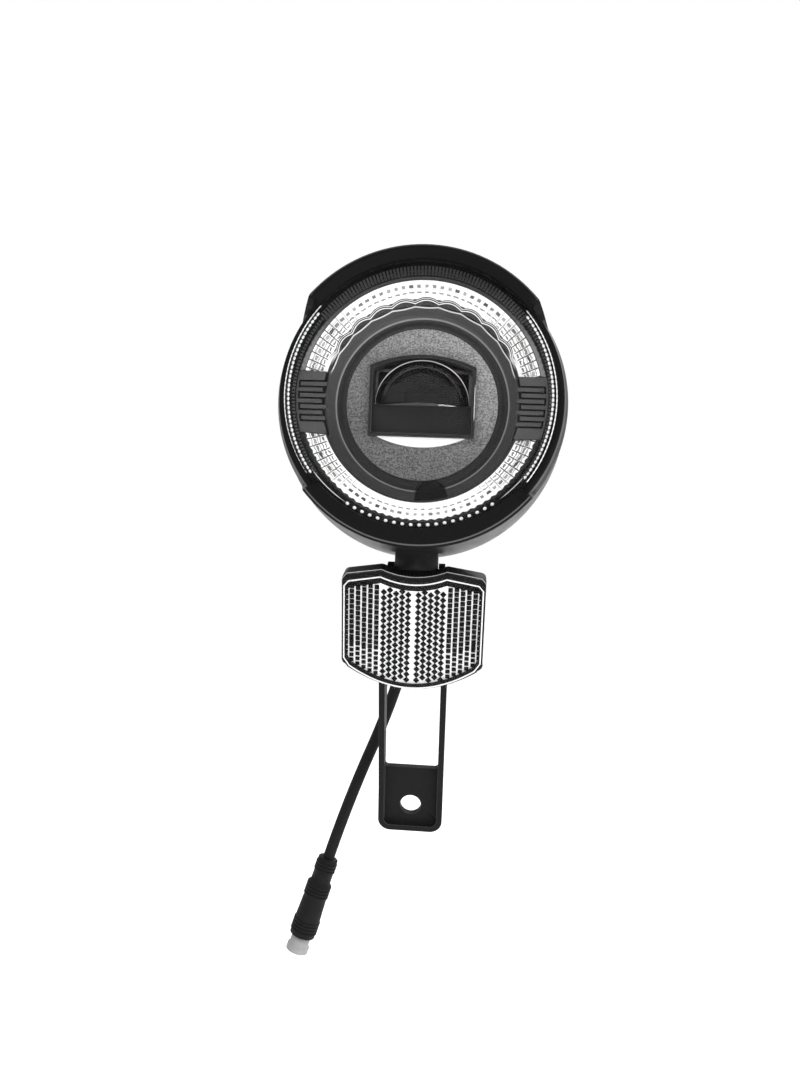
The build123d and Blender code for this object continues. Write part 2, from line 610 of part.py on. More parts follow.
def side_gap_box(side, grow):
    """The space between the ends of the two guides, on the right (1) or on the left (-1)."""
    near, far = sorted((side * GUIDE_INNER, side * LAMP_RADIUS))
    low = LOWER_CUT + SLIDE_GAP - grow
    high = UPPER_CUT - SLIDE_GAP + grow
    return block(near, far, 0, LEDGE_BACK, low, high)


def mask_bowl():
    mask = bowl()
    collar = disc(COLLAR_RADIUS, GUIDE_FRONT, LEDGE_BACK + MASK_WALL, z=LENS_RAISE)
    collar -= disc(GUIDE_OUTER + SLIDE_GAP, 0, FAR)
    for side in (1, -1):
        collar -= side_gap_box(side, SLIDE_GAP)
    mask += collar
    slot = disc(GUIDE_OUTER + SLIDE_GAP, GUIDE_FRONT, FLOOR_DEPTH + 2 * MASK_WALL)
    slot -= disc(GUIDE_INNER - SLIDE_GAP, 0, FAR)
    mask -= slot & block(-FAR, FAR, 0, FAR, UPPER_CUT - SLIDE_GAP, FAR)
    mask -= slot & block(-FAR, FAR, 0, FAR, -FAR, LOWER_CUT + SLIDE_GAP)
    for angle in post_angles():
        x, z = on_circle(MASK_POST_CIRCLE, angle)
        mask += disc(MASK_POST_RADIUS, LEDGE_BACK, RING_BOARD_FRONT, x, z)
        mask -= disc(BOARD_SCREW_RADIUS + SCREW_GAP, RING_BOARD_FRONT - BOARD_SCREW_LENGTH, FAR, x, z)
    mask -= sensor_prism(0.0)
    return LAMP * mask


def sensor_window():
    return LAMP * Pos(0, -SENSOR_PROUD, 0) * (bowl() & sensor_prism(SLIDE_GAP))


def level_bar(side, z, height, start, end, front):
    """A level bar of the side grille, whose outer end follows the collar's circle."""
    near, far = sorted((side * start, side * LAMP_RADIUS))
    bar = block(near, far, front, GRILLE_FLOOR, z - height / 2, z + height / 2)
    return bar & disc(end, 0, FAR, z=LENS_RAISE)


def side_grille(side):
    """A panel of level fingers that join at their outer end, with a longer free bar between each two."""
    inner = GUIDE_INNER + SLIDE_GAP
    face = GRILLE_FLOOR - BAR_PROUD
    groove_end = COLLAR_RADIUS - BAR_STRIP
    panel = tube(GUIDE_OUTER, inner, face, FLOOR_DEPTH)
    panel += disc(COLLAR_RADIUS, face, LEDGE_BACK, z=LENS_RAISE) - disc(inner, 0, FAR)
    low = LOWER_CUT + 2 * SLIDE_GAP
    high = UPPER_CUT - 2 * SLIDE_GAP
    near, far = sorted((0.0, side * FAR))
    panel &= block(near, far, 0, FAR, low, high)
    middle = (low + high) / 2 + BARS_RAISE
    for index in range(BAR_COUNT):
        z = middle + (index - (BAR_COUNT - 1) / 2) * BAR_PITCH
        panel -= level_bar(side, z, BAR_HEIGHT + 2 * BAR_GROOVE, 0.0, groove_end, 0.0)
        panel += level_bar(side, z, BAR_HEIGHT, BAR_INNER, groove_end - BAR_GROOVE, face)
    return LAMP * panel


def ring_board():
    board = tube(RING_BOARD_OUTER, RING_BOARD_INNER, RING_BOARD_FRONT, RING_BOARD_FRONT + BOARD_THICKNESS)
    for angle in post_angles():
        x, z = on_circle(MASK_POST_CIRCLE, angle)
        board -= disc(BOARD_SCREW_RADIUS + SLIDE_GAP, 0, FAR, x, z)
    return LAMP * board


def ring_lights():
    middle = (GUIDE_BACK_INNER + GUIDE_BACK_OUTER) / 2
    half = LIGHT_SIZE / 2
    one = block(middle - half, middle + half, RING_BOARD_FRONT - LIGHT_HEIGHT, RING_BOARD_FRONT, -half, half)
    lights = Part()
    for centre in (90, 270):
        for index in range(LIGHT_COUNT):
            angle = centre + LIGHT_SPAN * (index / (LIGHT_COUNT - 1) - 0.5)
            lights += Rot(0, -angle, 0) * one
    return LAMP * lights


def ring_board_screws():
    back = RING_BOARD_FRONT + BOARD_THICKNESS
    screws = Part()
    for angle in post_angles():
        x, z = on_circle(MASK_POST_CIRCLE, angle)
        screws += disc(BOARD_SCREW_RADIUS, RING_BOARD_FRONT - BOARD_SCREW_LENGTH + SCREW_GAP, back, x, z)
        screws += disc(BOARD_SCREW_HEAD, back, back + BOARD_THICKNESS, x, z)
    return LAMP * screws


def frame_plan(grow):
    """The projector's frame: straight sides and foot, and an arched top."""
    half = FRAME_HALF_WIDTH + grow
    low = PROJECTOR_RAISE - FRAME_HALF_HEIGHT - grow
    high = PROJECTOR_RAISE + FRAME_HALF_HEIGHT + grow
    return make_face(Curve() + [Line((-half, low), (half, low)), Line((half, low), (half, high)),
                                ThreePointArc((half, high), (0, high + FRAME_ARCH), (-half, high)),
                                Line((-half, high), (-half, low))])


def lip_plan(grow):
    """The bright lip under the frame: a shallow segment of a circle."""
    radius = (LIP_HALF_WIDTH ** 2 + LIP_SAG ** 2) / (2 * LIP_SAG)
    top = PROJECTOR_RAISE - FRAME_HALF_HEIGHT - SLIDE_GAP
    segment = Pos(0, top + radius - LIP_SAG) * Circle(radius + grow)
    return segment & Pos(0, top + grow - FAR / 2) * Rectangle(FAR, FAR)


def centre_plate():
    plate = disc(PLATE_RADIUS, PLATE_DEPTH, PLATE_BACK)
    plate -= across(frame_plan(SLIDE_GAP), 0, FAR)
    plate -= across(lip_plan(SLIDE_GAP), 0, FAR)
    return LAMP * plate


def projector_frame():
    frame = across(frame_plan(0.0), PLATE_DEPTH - FRAME_PROUD, PLATE_BACK)
    frame += across(frame_plan(FRAME_FLANGE), PLATE_BACK, FRAME_BACK)
    frame -= across(frame_plan(-FRAME_WALL), 0, FAR)
    return LAMP * frame


def projector_lip():
    return LAMP * across(lip_plan(0.0), PLATE_DEPTH - LIP_PROUD, PLATE_BACK)


def lens_bottom():
    return PROJECTOR_RAISE + PROJECTOR_SPLIT


def projector_lens():
    ellipse = Ellipse(PROJECTOR_LENS_HALF, PROJECTOR_LENS_HEIGHT) & Pos(0, FAR / 2) * Rectangle(FAR, FAR)
    barrel = across(Pos(0, lens_bottom()) * ellipse, 0, FRAME_BACK)
    curve = PROJECTOR_LENS_CURVE * PROJECTOR_LENS_HALF
    dome = Pos(0, PROJECTOR_LENS_APEX + curve, lens_bottom()) * Sphere(curve)
    return LAMP * (barrel & dome)


def projector_shade():
    low_half = block(-FAR, FAR, 0, FAR, -FAR, lens_bottom() - SLIDE_GAP)
    shade = across(frame_plan(-FRAME_WALL - SLIDE_GAP), FRAME_BACK - SHADE_THICKNESS, FRAME_BACK) & low_half
    return LAMP * shade


def collector():
    def cone(shrink):
        front = Rectangle(2 * (FRAME_HALF_WIDTH - FRAME_WALL - shrink), 2 * (FRAME_HALF_HEIGHT - shrink))
        back = Rectangle(COLLECTOR_BACK - 2 * shrink, COLLECTOR_BACK - 2 * shrink)
        wide = Plane.XZ.offset(-FRAME_BACK) * front
        narrow = Plane.XZ.offset(-COLLECTOR_END) * back
        return loft([wide.face(), narrow.face()])

    return LAMP * Pos(0, 0, PROJECTOR_RAISE) * (cone(0.0) - cone(COLLECTOR_WALL))


def main_light_board():
    half = LED_BOARD_WIDTH / 2
    tall = LED_BOARD_HEIGHT / 2
    board = block(-half, half, COLLECTOR_END, LED_BOARD_BACK, -tall, tall)
    return LAMP * Pos(0, 0, PROJECTOR_RAISE) * board


def main_light_source():
    half = LED_SIZE / 2
    source = block(-half, half, COLLECTOR_END - LED_HEIGHT, COLLECTOR_END, -half, half)
    return LAMP * Pos(0, 0, PROJECTOR_RAISE) * source


def heat_sink():
    half = SINK_WIDTH / 2
    tall = SINK_HEIGHT / 2
    sink = block(-half, half, LED_BOARD_BACK, SINK_BACK, -tall, tall)
    for index in range(SINK_FINS):
        left = (index - (SINK_FINS - 1) / 2) * FIN_PITCH - FIN_THICKNESS / 2
        sink += block(left, left + FIN_THICKNESS, SINK_BACK, SINK_BACK + FIN_LENGTH, -tall, tall)
    for x in (-SINK_SCREW_X, SINK_SCREW_X):
        sink -= disc(SINK_SCREW_RADIUS + SLIDE_GAP, 0, FAR, x)
    return LAMP * Pos(0, 0, PROJECTOR_RAISE) * sink


def heat_sink_screws():
    screws = Part()
    for x in (-SINK_SCREW_X, SINK_SCREW_X):
        screws += disc(SINK_SCREW_RADIUS, LED_BOARD_BACK, SINK_BACK + SINK_SCREW_BITE, x)
        screws += disc(SINK_SCREW_HEAD, LED_BOARD_BACK - SINK_SCREW_RADIUS, LED_BOARD_BACK, x)
    return LAMP * Pos(0, 0, PROJECTOR_RAISE) * screws


def bowl_loft(inset):
    """The bowl of the housing: round sections whose centres drop towards the belly."""
    sections = []
    last = HOUSING_SECTIONS[-1][0]
    for distance, beyond, drop in HOUSING_SECTIONS:
        depth = HOUSING_FRONT + distance - (inset if distance == last else 0.0)
        radius = LAMP_RADIUS + beyond - inset
        sections.append((Plane.XZ.offset(-depth) * Pos(0, -drop) * Circle(radius)).face())
    bowl_solid = loft(sections)
    back_edge = bowl_solid.edges().sort_by(Axis.Y)[-1]
    return fillet(back_edge, BACK_EDGE - inset / 2)


def exit_plane():
    """A plane at the cable's exit, whose z axis is the way out."""
    slope = math.radians(EXIT_SLOPE)
    out = (0, math.cos(slope), -math.sin(slope))
    return Plane(origin=(EXIT_X, EXIT_DEPTH, -EXIT_DROP), x_dir=(1, 0, 0), z_dir=out)


def foot_side():
    """The foot seen from the side: a neck that ends in a round eye at the pivot."""
    eye = BUSH_RADIUS + FOOT_EYE_WALL
    neck = [(-FOOT_NOSE, FOOT_RISE), (-FOOT_NOSE, 0), (eye, 0), (FOOT_TAIL, FOOT_RISE)]
    return outline(neck) + Circle(eye)


def rear_housing():
    shell = bowl_loft(0.0)
    shell += Pos(0, PIVOT_DEPTH, -PIVOT_DROP) * sideways(foot_side(), -FOOT_HALF, FOOT_HALF)
    shell += exit_plane() * post_up(EXIT_BOSS_RADIUS, -EXIT_BOSS_LENGTH, 0)
    shell -= bowl_loft(HOUSING_WALL)
    shell += tube(SPIGOT_RADIUS, SPIGOT_RADIUS - SPIGOT_WALL, FLANGE_BACK, HOUSING_FRONT + SPIGOT_WALL)
    inside = bowl_loft(HOUSING_WALL / 2)
    for x in (-SINK_SCREW_X, SINK_SCREW_X):
        post = disc(SINK_POST_RADIUS, SINK_BACK, FAR, x, PROJECTOR_RAISE) & inside
        post -= disc(SINK_SCREW_RADIUS + SCREW_GAP, 0, SINK_BACK + SINK_SCREW_BITE + 1, x, PROJECTOR_RAISE)
        shell += post
    for x in (-DRIVER_RIB_X, DRIVER_RIB_X):
        half = DRIVER_RIB_WIDTH / 2
        back = DRIVER_FRONT + DRIVER_DEPTH
        shell += block(x - half, x + half, DRIVER_FRONT, back, -LAMP_RADIUS, DRIVER_BOTTOM) & inside
    shell -= Pos(0, PIVOT_DEPTH, -PIVOT_DROP) * bar_along_x(BUSH_RADIUS, -FAR, FAR)
    shell -= exit_plane() * post_up(GROMMET_NECK + SLIDE_GAP, -2 * EXIT_BOSS_LENGTH, EXIT_BOSS_LENGTH)
    return LAMP * shell


def housing_seal():
    return LAMP * tube(LAMP_RADIUS - BEZEL_WALL / 2, BEZEL_BORE, BEZEL_LENGTH, HOUSING_FRONT)


def pivot_bush():
    ring = Circle(BUSH_RADIUS) - Circle(BUSH_BORE)
    return LAMP * Pos(0, PIVOT_DEPTH, -PIVOT_DROP) * sideways(ring, -FOOT_HALF, FOOT_HALF)


def driver_board():
    half = DRIVER_WIDTH / 2
    return LAMP * block(-half, half, DRIVER_FRONT, DRIVER_FRONT + DRIVER_DEPTH, DRIVER_BOTTOM, DRIVER_TOP)


def driver_board_parts():
    """An inductor, a wire terminal, a controller and a capacitor that stand on the driver board."""
    middle = DRIVER_FRONT + DRIVER_DEPTH / 2
    parts = Part()
    for x, width, depth, height in BOARD_BLOCKS:
        top = DRIVER_TOP + height
        parts += block(x - width / 2, x + width / 2, middle - depth / 2, middle + depth / 2, DRIVER_TOP, top)
    top = DRIVER_TOP + CAPACITOR_HEIGHT
    parts += Pos(CAPACITOR_X, middle, 0) * post_up(CAPACITOR_RADIUS, DRIVER_TOP, top)
    return LAMP * parts


def wire(points):
    path = FilletPolyline(*points, radius=WIRE_BEND)
    section = Plane(origin=path @ 0, z_dir=path % 0) * Circle(WIRE_RADIUS)
    return sweep(section, path=path)


def lead_wires():
    """Pairs of wires from the driver board to the main board, to the ring board and to the cable."""
    led_z = PROJECTOR_RAISE - LED_BOARD_HEIGHT / 2 + 2 * WIRE_RADIUS
    led_y = COLLECTOR_END - WIRE_LOOP
    ring_back = RING_BOARD_FRONT + BOARD_THICKNESS
    ring_z = -(RING_BOARD_INNER + RING_BOARD_OUTER) / 2
    ring_x = BOARD_BLOCKS[0][0] + WIRE_LOOP
    front = DRIVER_FRONT + WIRE_SPACING
    turn = ring_back + WIRE_SPACING
    over = DRIVER_TOP + WIRE_LOOP
    out = exit_plane()
    exit_back = out.origin - out.z_dir * GROMMET_NECK_LENGTH
    corner = exit_back - out.z_dir * WIRE_LOOP
    behind = DRIVER_FRONT + DRIVER_DEPTH - WIRE_LOOP
    wires = Part()
    for step in (-WIRE_SPACING / 2, WIRE_SPACING / 2):
        wires += wire([(step, led_y, DRIVER_TOP), (step, led_y, led_z), (step, COLLECTOR_END, led_z)])
        x = ring_x + step
        wires += wire([(x, front, DRIVER_TOP), (x, front, over), (x, turn, over), (x, turn, ring_z),
                       (x, ring_back, ring_z)])
        x = EXIT_X + step
        wires += wire([(x, exit_back.Y, exit_back.Z), (x, corner.Y, corner.Z), (x, corner.Y, over),
                       (x, behind, over), (x, behind, DRIVER_TOP)])
    return LAMP * wires


def along_axis(points):
    """A closed (radius, distance) outline turned about z."""
    return revolve(Plane.XZ * outline(points), Axis.Z)


def ribs(radius, start, count):
    """Steps of an outline that goes over small ribs, each a pitch apart."""
    steps = []
    for index in range(count):
        foot = start + index * RIB_PITCH
        steps += [(radius, foot), (radius + RIB_HEIGHT, foot), (radius + RIB_HEIGHT, foot + RIB_PITCH / 2),
                  (radius, foot + RIB_PITCH / 2)]
    return steps


def cable_grommet():
    taper = []
    start = GROMMET_FLANGE_THICKNESS + RIB_PITCH
    length = GROMMET_LENGTH - start
    pitch = length / GROMMET_RINGS
    narrowing = (GROMMET_TAPER_START - GROMMET_TAPER_END) / (GROMMET_RINGS - 1)
    for index in range(GROMMET_RINGS):
        low = start + pitch * index
        high = low + pitch * GROMMET_RING_SHARE
        end = low + pitch
        outer = GROMMET_TAPER_START - narrowing * index
        inner = outer - 2 * RIB_HEIGHT
        taper += [(outer, low), (outer, high), (inner, high), (inner, end)]
    flange_top = GROMMET_FLANGE_THICKNESS
    collar = GROMMET_TAPER_START - RIB_HEIGHT
    points = [(0, -GROMMET_NECK_LENGTH), (GROMMET_NECK, -GROMMET_NECK_LENGTH), (GROMMET_NECK, 0),
              (GROMMET_FLANGE, 0), (GROMMET_FLANGE, flange_top), (collar, flange_top), (collar, start)]
    return LAMP * (exit_plane() * along_axis(points + taper + [(0, GROMMET_LENGTH)]))


def cable_route():
    exit_at = exit_plane()
    tip = LAMP.position + exit_at.origin + exit_at.z_dir * GROMMET_LENGTH
    return [tip, tip + exit_at.z_dir * FIRST_RUN] + [Vector(*point) for point in CABLE_POINTS]


def plug_plane(distance):
    before, end = cable_route()[-2:]
    way = (end - before).normalized()
    return Plane(origin=end + way * distance, z_dir=way)


def corner_radii(points):
    """The largest arcs that the runs beside each corner allow, in mm."""
    radii = []
    for before, corner, after in zip(points, points[1:], points[2:]):
        first = corner - before
        second = after - corner
        turn = math.radians(first.get_angle(second))
        radii.append(ARC_SHARE * min(first.length, second.length) / math.tan(turn / 2))
    return radii


def cable():
    route = cable_route()
    radii = corner_radii(route)
    path = FilletPolyline(*route, radius=radii)
    section = Plane(origin=path @ 0, z_dir=path % 0) * Circle(CABLE_RADIUS)
    solid = sweep(section, path=path)
    expected = math.pi * CABLE_RADIUS ** 2 * path.length
    print("cable length", round(path.length, 1), "radii", [round(r, 1) for r in radii],
          "volume", round(solid.volume, 1), "section times length", round(expected, 1))
    return solid


def connector_overmould():
    ribbed = RIB_COUNT * RIB_PITCH + 2 * PLUG_LAND
    shoulder = PLUG_COLLAR_LENGTH + PLUG_SLOPE
    body_end = PLUG_LENGTH - ribbed
    steps = ribs(PLUG_COLLAR_RADIUS, PLUG_COLLAR_START, PLUG_COLLAR_RIBS)
    steps += [(PLUG_COLLAR_RADIUS, PLUG_COLLAR_LENGTH), (PLUG_BODY_RADIUS, shoulder)]
    steps += ribs(PLUG_BODY_RADIUS, shoulder + PLUG_LAND, RIB_COUNT)
    steps += [(PLUG_BODY_RADIUS, shoulder + ribbed), (PLUG_END_RADIUS, body_end - PLUG_LAND)]
    steps += ribs(PLUG_END_RADIUS, body_end, RIB_COUNT)
    points = [(0, 0), (PLUG_COLLAR_RADIUS - RIB_HEIGHT, 0), (PLUG_COLLAR_RADIUS, RIB_HEIGHT)] + steps
    points += [(PLUG_END_RADIUS, PLUG_LENGTH), (0, PLUG_LENGTH)]
    return plug_plane(0.0) * along_axis(points)


def connector_sleeve():
    flare = SLEEVE_STEP + (SLEEVE_END_RADIUS - SLEEVE_RADIUS)
    points = [(0, 0), (SLEEVE_RADIUS, 0), (SLEEVE_RADIUS, SLEEVE_STEP), (SLEEVE_END_RADIUS, flare),
              (SLEEVE_END_RADIUS, SLEEVE_LENGTH), (SLEEVE_BORE, SLEEVE_LENGTH),
              (SLEEVE_BORE, SLEEVE_LENGTH - SLEEVE_BORE_DEPTH), (0, SLEEVE_LENGTH - SLEEVE_BORE_DEPTH)]
    return plug_plane(PLUG_LENGTH) * along_axis(points)


def connector_core():
    radius = SLEEVE_BORE - SLIDE_GAP
    floor = SLEEVE_LENGTH - SLEEVE_BORE_DEPTH
    return plug_plane(PLUG_LENGTH) * post_up(radius, floor, SLEEVE_LENGTH - PIN_LENGTH)


def connector_pins():
    start = SLEEVE_LENGTH - PIN_LENGTH
    pins = Part()
    for index in range(PIN_COUNT):
        x, y = on_circle(PIN_CIRCLE, 360 * index / PIN_COUNT)
        pins += Pos(x, y) * post_up(PIN_RADIUS, start, SLEEVE_LENGTH - 2 * PIN_RADIUS)
    return plug_plane(PLUG_LENGTH) * pins


PIECES = {
    "rear_housing": rear_housing(),
    "front_bezel": front_bezel(),
    "front_lens": front_lens(),
    "lens_seal": lens_seal(),
    "rim_ring": rim_ring(),
    "mask_bowl": mask_bowl(),
    "side_grille_left": side_grille(-1),
    "side_grille_right": side_grille(1),
    "light_guide_upper": light_guide("upper"),
    "light_guide_lower": light_guide("lower"),
    "ring_board": ring_board(),
    "ring_lights": ring_lights(),
    "ring_board_screws": ring_board_screws(),
    "centre_plate": centre_plate(),
    "projector_frame": projector_frame(),
    "projector_lens": projector_lens(),
    "projector_shade": projector_shade(),
    "projector_lip": projector_lip(),
    "sensor_window": sensor_window(),
    "collector": collector(),
    "main_light_source": main_light_source(),
    "main_light_board": main_light_board(),
    "heat_sink": heat_sink(),
    "heat_sink_screws": heat_sink_screws(),
    "driver_board": driver_board(),
    "driver_board_parts": driver_board_parts(),
    "lead_wires": lead_wires(),
    "housing_seal": housing_seal(),
    "cable_grommet": cable_grommet(),
    "pivot_bush": pivot_bush(),
    "mounting_bracket": bracket(),
    "pivot_bolt": pivot_bolt(),
    "pivot_nut": pivot_nut(),
    "pivot_washers": pivot_washers(),
    "reflector_carrier": reflector_carrier(),
    "reflector_lens": reflector_lens(),
    "reflector_screw": reflector_screw(),
    "cable": cable(),
    "connector_overmould": connector_overmould(),
    "connector_sleeve": connector_sleeve(),
    "connector_core": connector_core(),
    "connector_pins": connector_pins(),
}

for name, piece in PIECES.items():
    export_step(piece, "parts/" + name + ".step")

print("pivot", [round(v, 3) for v in PIVOT], "lamp", [round(v, 3) for v in LAMP.position])
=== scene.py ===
import math

import bmesh
import bpy
from mathutils import Matrix, Vector


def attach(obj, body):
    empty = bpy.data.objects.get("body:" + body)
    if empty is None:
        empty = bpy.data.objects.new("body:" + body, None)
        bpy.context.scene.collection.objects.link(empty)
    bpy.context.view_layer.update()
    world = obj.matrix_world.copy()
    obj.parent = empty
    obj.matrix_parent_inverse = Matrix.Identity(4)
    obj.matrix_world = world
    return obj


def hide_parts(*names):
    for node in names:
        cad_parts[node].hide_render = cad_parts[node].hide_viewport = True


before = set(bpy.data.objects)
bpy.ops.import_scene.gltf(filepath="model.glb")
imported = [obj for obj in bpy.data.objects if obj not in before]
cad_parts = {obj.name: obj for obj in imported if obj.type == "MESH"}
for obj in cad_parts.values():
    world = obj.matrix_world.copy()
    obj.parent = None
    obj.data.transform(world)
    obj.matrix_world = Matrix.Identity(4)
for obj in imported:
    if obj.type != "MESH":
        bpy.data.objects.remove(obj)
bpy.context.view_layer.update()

MM = 0.001
LAMP_FRONT = -41.712     # the lamp's front rim plane and axis, in the part's frame, mm
LAMP_AXIS = 120.717
LEAN = math.radians(15.0)


def lamp_point(x, depth, z):
    """A point in the lamp's own frame: depth is counted back from the front rim, z from the axis."""
    return Vector((x, LAMP_FRONT + depth, LAMP_AXIS + z)) * MM


def bracket_point(x, y, z):
    """A point in the bracket's upright frame, whose origin is the bolt hole."""
    return Vector((x, y * math.cos(LEAN) - z * math.sin(LEAN), y * math.sin(LEAN) + z * math.cos(LEAN))) * MM


# small helpers for node trees

def put(tree, kind, inputs=None, **settings):
    """A node in a tree, with its settings, and with inputs that are values or sockets of other nodes."""
    made = tree.nodes.new(kind)
    for name, value in settings.items():
        setattr(made, name, value)
    for name, value in (inputs or {}).items():
        if isinstance(value, bpy.types.NodeSocket):
            tree.links.new(value, made.inputs[name])
        else:
            made.inputs[name].default_value = value
    return made


def calc(tree, operation, first, second=0.0, third=0.0):
    """A Math node's result."""
    return put(tree, "ShaderNodeMath", {0: first, 1: second, 2: third}, operation=operation).outputs[0]


def mixed(tree, factor, first, second):
    """One colour over another by a factor."""
    return put(tree, "ShaderNodeMix", {0: factor, 6: first, 7: second}, data_type="RGBA").outputs[2]


def grey(value):
    return (value, value, value, 1.0)


def band(tree, value, centre, half, soft):
    """1 where a value is within half of a centre, falling to 0 over a soft edge."""
    off = calc(tree, "ABSOLUTE", calc(tree, "SUBTRACT", value, centre))
    made = put(tree, "ShaderNodeMapRange", {"Value": off, "From Min": calc(tree, "ADD", half, soft),
                                            "From Max": half}, interpolation_type="SMOOTHSTEP")
    return made.outputs[0]


def ramp(tree, value, low, high):
    """0 below low and 1 above high, or the other way round where low is the higher."""
    return put(tree, "ShaderNodeMapRange", {"Value": value, "From Min": low, "From Max": high},
               interpolation_type="SMOOTHSTEP").outputs[0]


def times(tree, *values):
    result = values[0]
    for value in values[1:]:
        result = calc(tree, "MULTIPLY", result, value)
    return result


def most(tree, *values):
    result = values[0]
    for value in values[1:]:
        result = calc(tree, "MAXIMUM", result, value)
    return result


def line(tree, value, slope, start):
    """A value times a slope, and a start added to it."""
    return calc(tree, "MULTIPLY_ADD", value, slope, start)


def opposite(tree, value):
    """1 less a value."""
    return calc(tree, "SUBTRACT", 1.0, value)


def effect(name, inputs, outputs):
    """An empty shader group with named inputs and outputs. Returns it, its inputs and its output node."""
    group = bpy.data.node_groups.new(name, "ShaderNodeTree")
    for label, kind, value in inputs:
        group.interface.new_socket(label, in_out="INPUT", socket_type=kind).default_value = value
    for label, kind in outputs:
        group.interface.new_socket(label, in_out="OUTPUT", socket_type=kind)
    start = group.nodes.new("NodeGroupInput")
    end = group.nodes.new("NodeGroupOutput")
    return group, start.outputs, end


FLOAT = "NodeSocketFloat"
VECTOR = "NodeSocketVector"


def make_grain():
    """Fine moulded or coated grain: a height for bump and a slight shade."""
    group, given, end = effect("fine_grain", [("Size mm", FLOAT, 0.2), ("Stretch", FLOAT, 1.0)],
                               [("Height", FLOAT), ("Shade", FLOAT)])
    place = put(group, "ShaderNodeTexCoord").outputs["Object"]
    split = put(group, "ShaderNodeSeparateXYZ", {0: place})
    wide = calc(group, "DIVIDE", split.outputs[0], given["Stretch"])
    joined = put(group, "ShaderNodeCombineXYZ", {0: wide, 1: split.outputs[1],
                                                 2: split.outputs[2]}).outputs[0]
    scale = calc(group, "DIVIDE", 1000.0, given["Size mm"])
    noise = put(group, "ShaderNodeTexNoise", {"Vector": joined, "Scale": scale, "Detail": 3.0,
                                              "Roughness": 0.6})
    group.links.new(noise.outputs[0], end.inputs["Height"])
    slow = put(group, "ShaderNodeTexNoise", {"Vector": joined, "Scale": calc(group, "DIVIDE", scale, 7.0)})
    both = line(group, slow.outputs[0], 0.5, times(group, noise.outputs[0], 0.5))
    group.links.new(both, end.inputs["Shade"])
    return group


def make_handling():
    """Roughness that varies with faint rub marks and finger marks."""
    inputs = [("Low", FLOAT, 0.35), ("High", FLOAT, 0.55), ("Size mm", FLOAT, 6.0)]
    group, given, end = effect("handling_marks", inputs, [("Roughness", FLOAT)])
    place = put(group, "ShaderNodeTexCoord").outputs["Object"]
    scale = calc(group, "DIVIDE", 1000.0, given["Size mm"])
    noise = put(group, "ShaderNodeTexNoise", {"Vector": place, "Scale": scale, "Detail": 5.0,
                                              "Roughness": 0.7, "Distortion": 0.6})
    spread = put(group, "ShaderNodeMapRange", {"Value": noise.outputs[0], "From Min": 0.35, "From Max": 0.68,
                                               "To Min": given["Low"], "To Max": given["High"]})
    group.links.new(spread.outputs[0], end.inputs["Roughness"])
    return group


def make_edges():
    """A rounded normal on sharp edges, and a mask of where the edges are."""
    group, given, end = effect("soft_edges", [("Radius mm", FLOAT, 0.2)],
                               [("Normal", VECTOR), ("Edge", FLOAT)])
    radius = times(group, given["Radius mm"], MM)
    bevel = put(group, "ShaderNodeBevel", {"Radius": radius}, samples=6)
    true = put(group, "ShaderNodeNewGeometry").outputs["Normal"]
    same = put(group, "ShaderNodeVectorMath", {0: bevel.outputs[0], 1: true}, operation="DOT_PRODUCT")
    edge = put(group, "ShaderNodeMapRange", {"Value": same.outputs["Value"], "From Min": 0.995,
                                             "From Max": 0.8})
    group.links.new(bevel.outputs[0], end.inputs["Normal"])
    group.links.new(edge.outputs[0], end.inputs["Edge"])
    return group


def make_polar():
    """Radius in mm and turns about the lamp's axis, and the depth behind its front rim in mm."""
    outputs = [(label, FLOAT) for label in ("Radius", "Turn", "Depth", "Across", "Up")]
    group, given, end = effect("lamp_polar", [("Raise mm", FLOAT, 0.0)], outputs)
    place = put(group, "ShaderNodeTexCoord").outputs["Object"]
    split = put(group, "ShaderNodeSeparateXYZ", {0: place})
    x = times(group, split.outputs[0], 1000.0)
    up = line(group, split.outputs[2], 1000.0, -LAMP_AXIS)
    z = calc(group, "SUBTRACT", up, given["Raise mm"])
    square = line(group, x, x, times(group, z, z))
    group.links.new(calc(group, "SQRT", square), end.inputs["Radius"])
    turn = times(group, calc(group, "ARCTAN2", z, x), 0.5 / math.pi)
    group.links.new(turn, end.inputs["Turn"])
    depth = line(group, split.outputs[1], 1000.0, -LAMP_FRONT)
    group.links.new(depth, end.inputs["Depth"])
    group.links.new(x, end.inputs["Across"])
    group.links.new(up, end.inputs["Up"])
    return group


GRAIN = make_grain()
HANDLING = make_handling()
EDGES = make_edges()
POLAR = make_polar()


def use(tree, group, **inputs):
    """A group placed in a material's tree. Underscores in the names of inputs stand for spaces."""
    made = put(tree, "ShaderNodeGroup", node_tree=group)
    for name, value in inputs.items():
        socket = made.inputs[name.replace("_", " ")]
        if isinstance(value, bpy.types.NodeSocket):
            tree.links.new(value, socket)
        else:
            socket.default_value = value
    return made.outputs


def finish_of(name, colour, **sockets):
    """A material with one shader. Returns the material, its tree and the shader."""
    made = bpy.data.materials.new(name)
    made.use_nodes = True
    tree = made.node_tree
    shader = tree.nodes["Principled BSDF"]
    shader.inputs["Base Color"].default_value = colour
    for label, value in sockets.items():
        shader.inputs[label.replace("_", " ")].default_value = value
    made.diffuse_color = colour
    return made, tree, shader


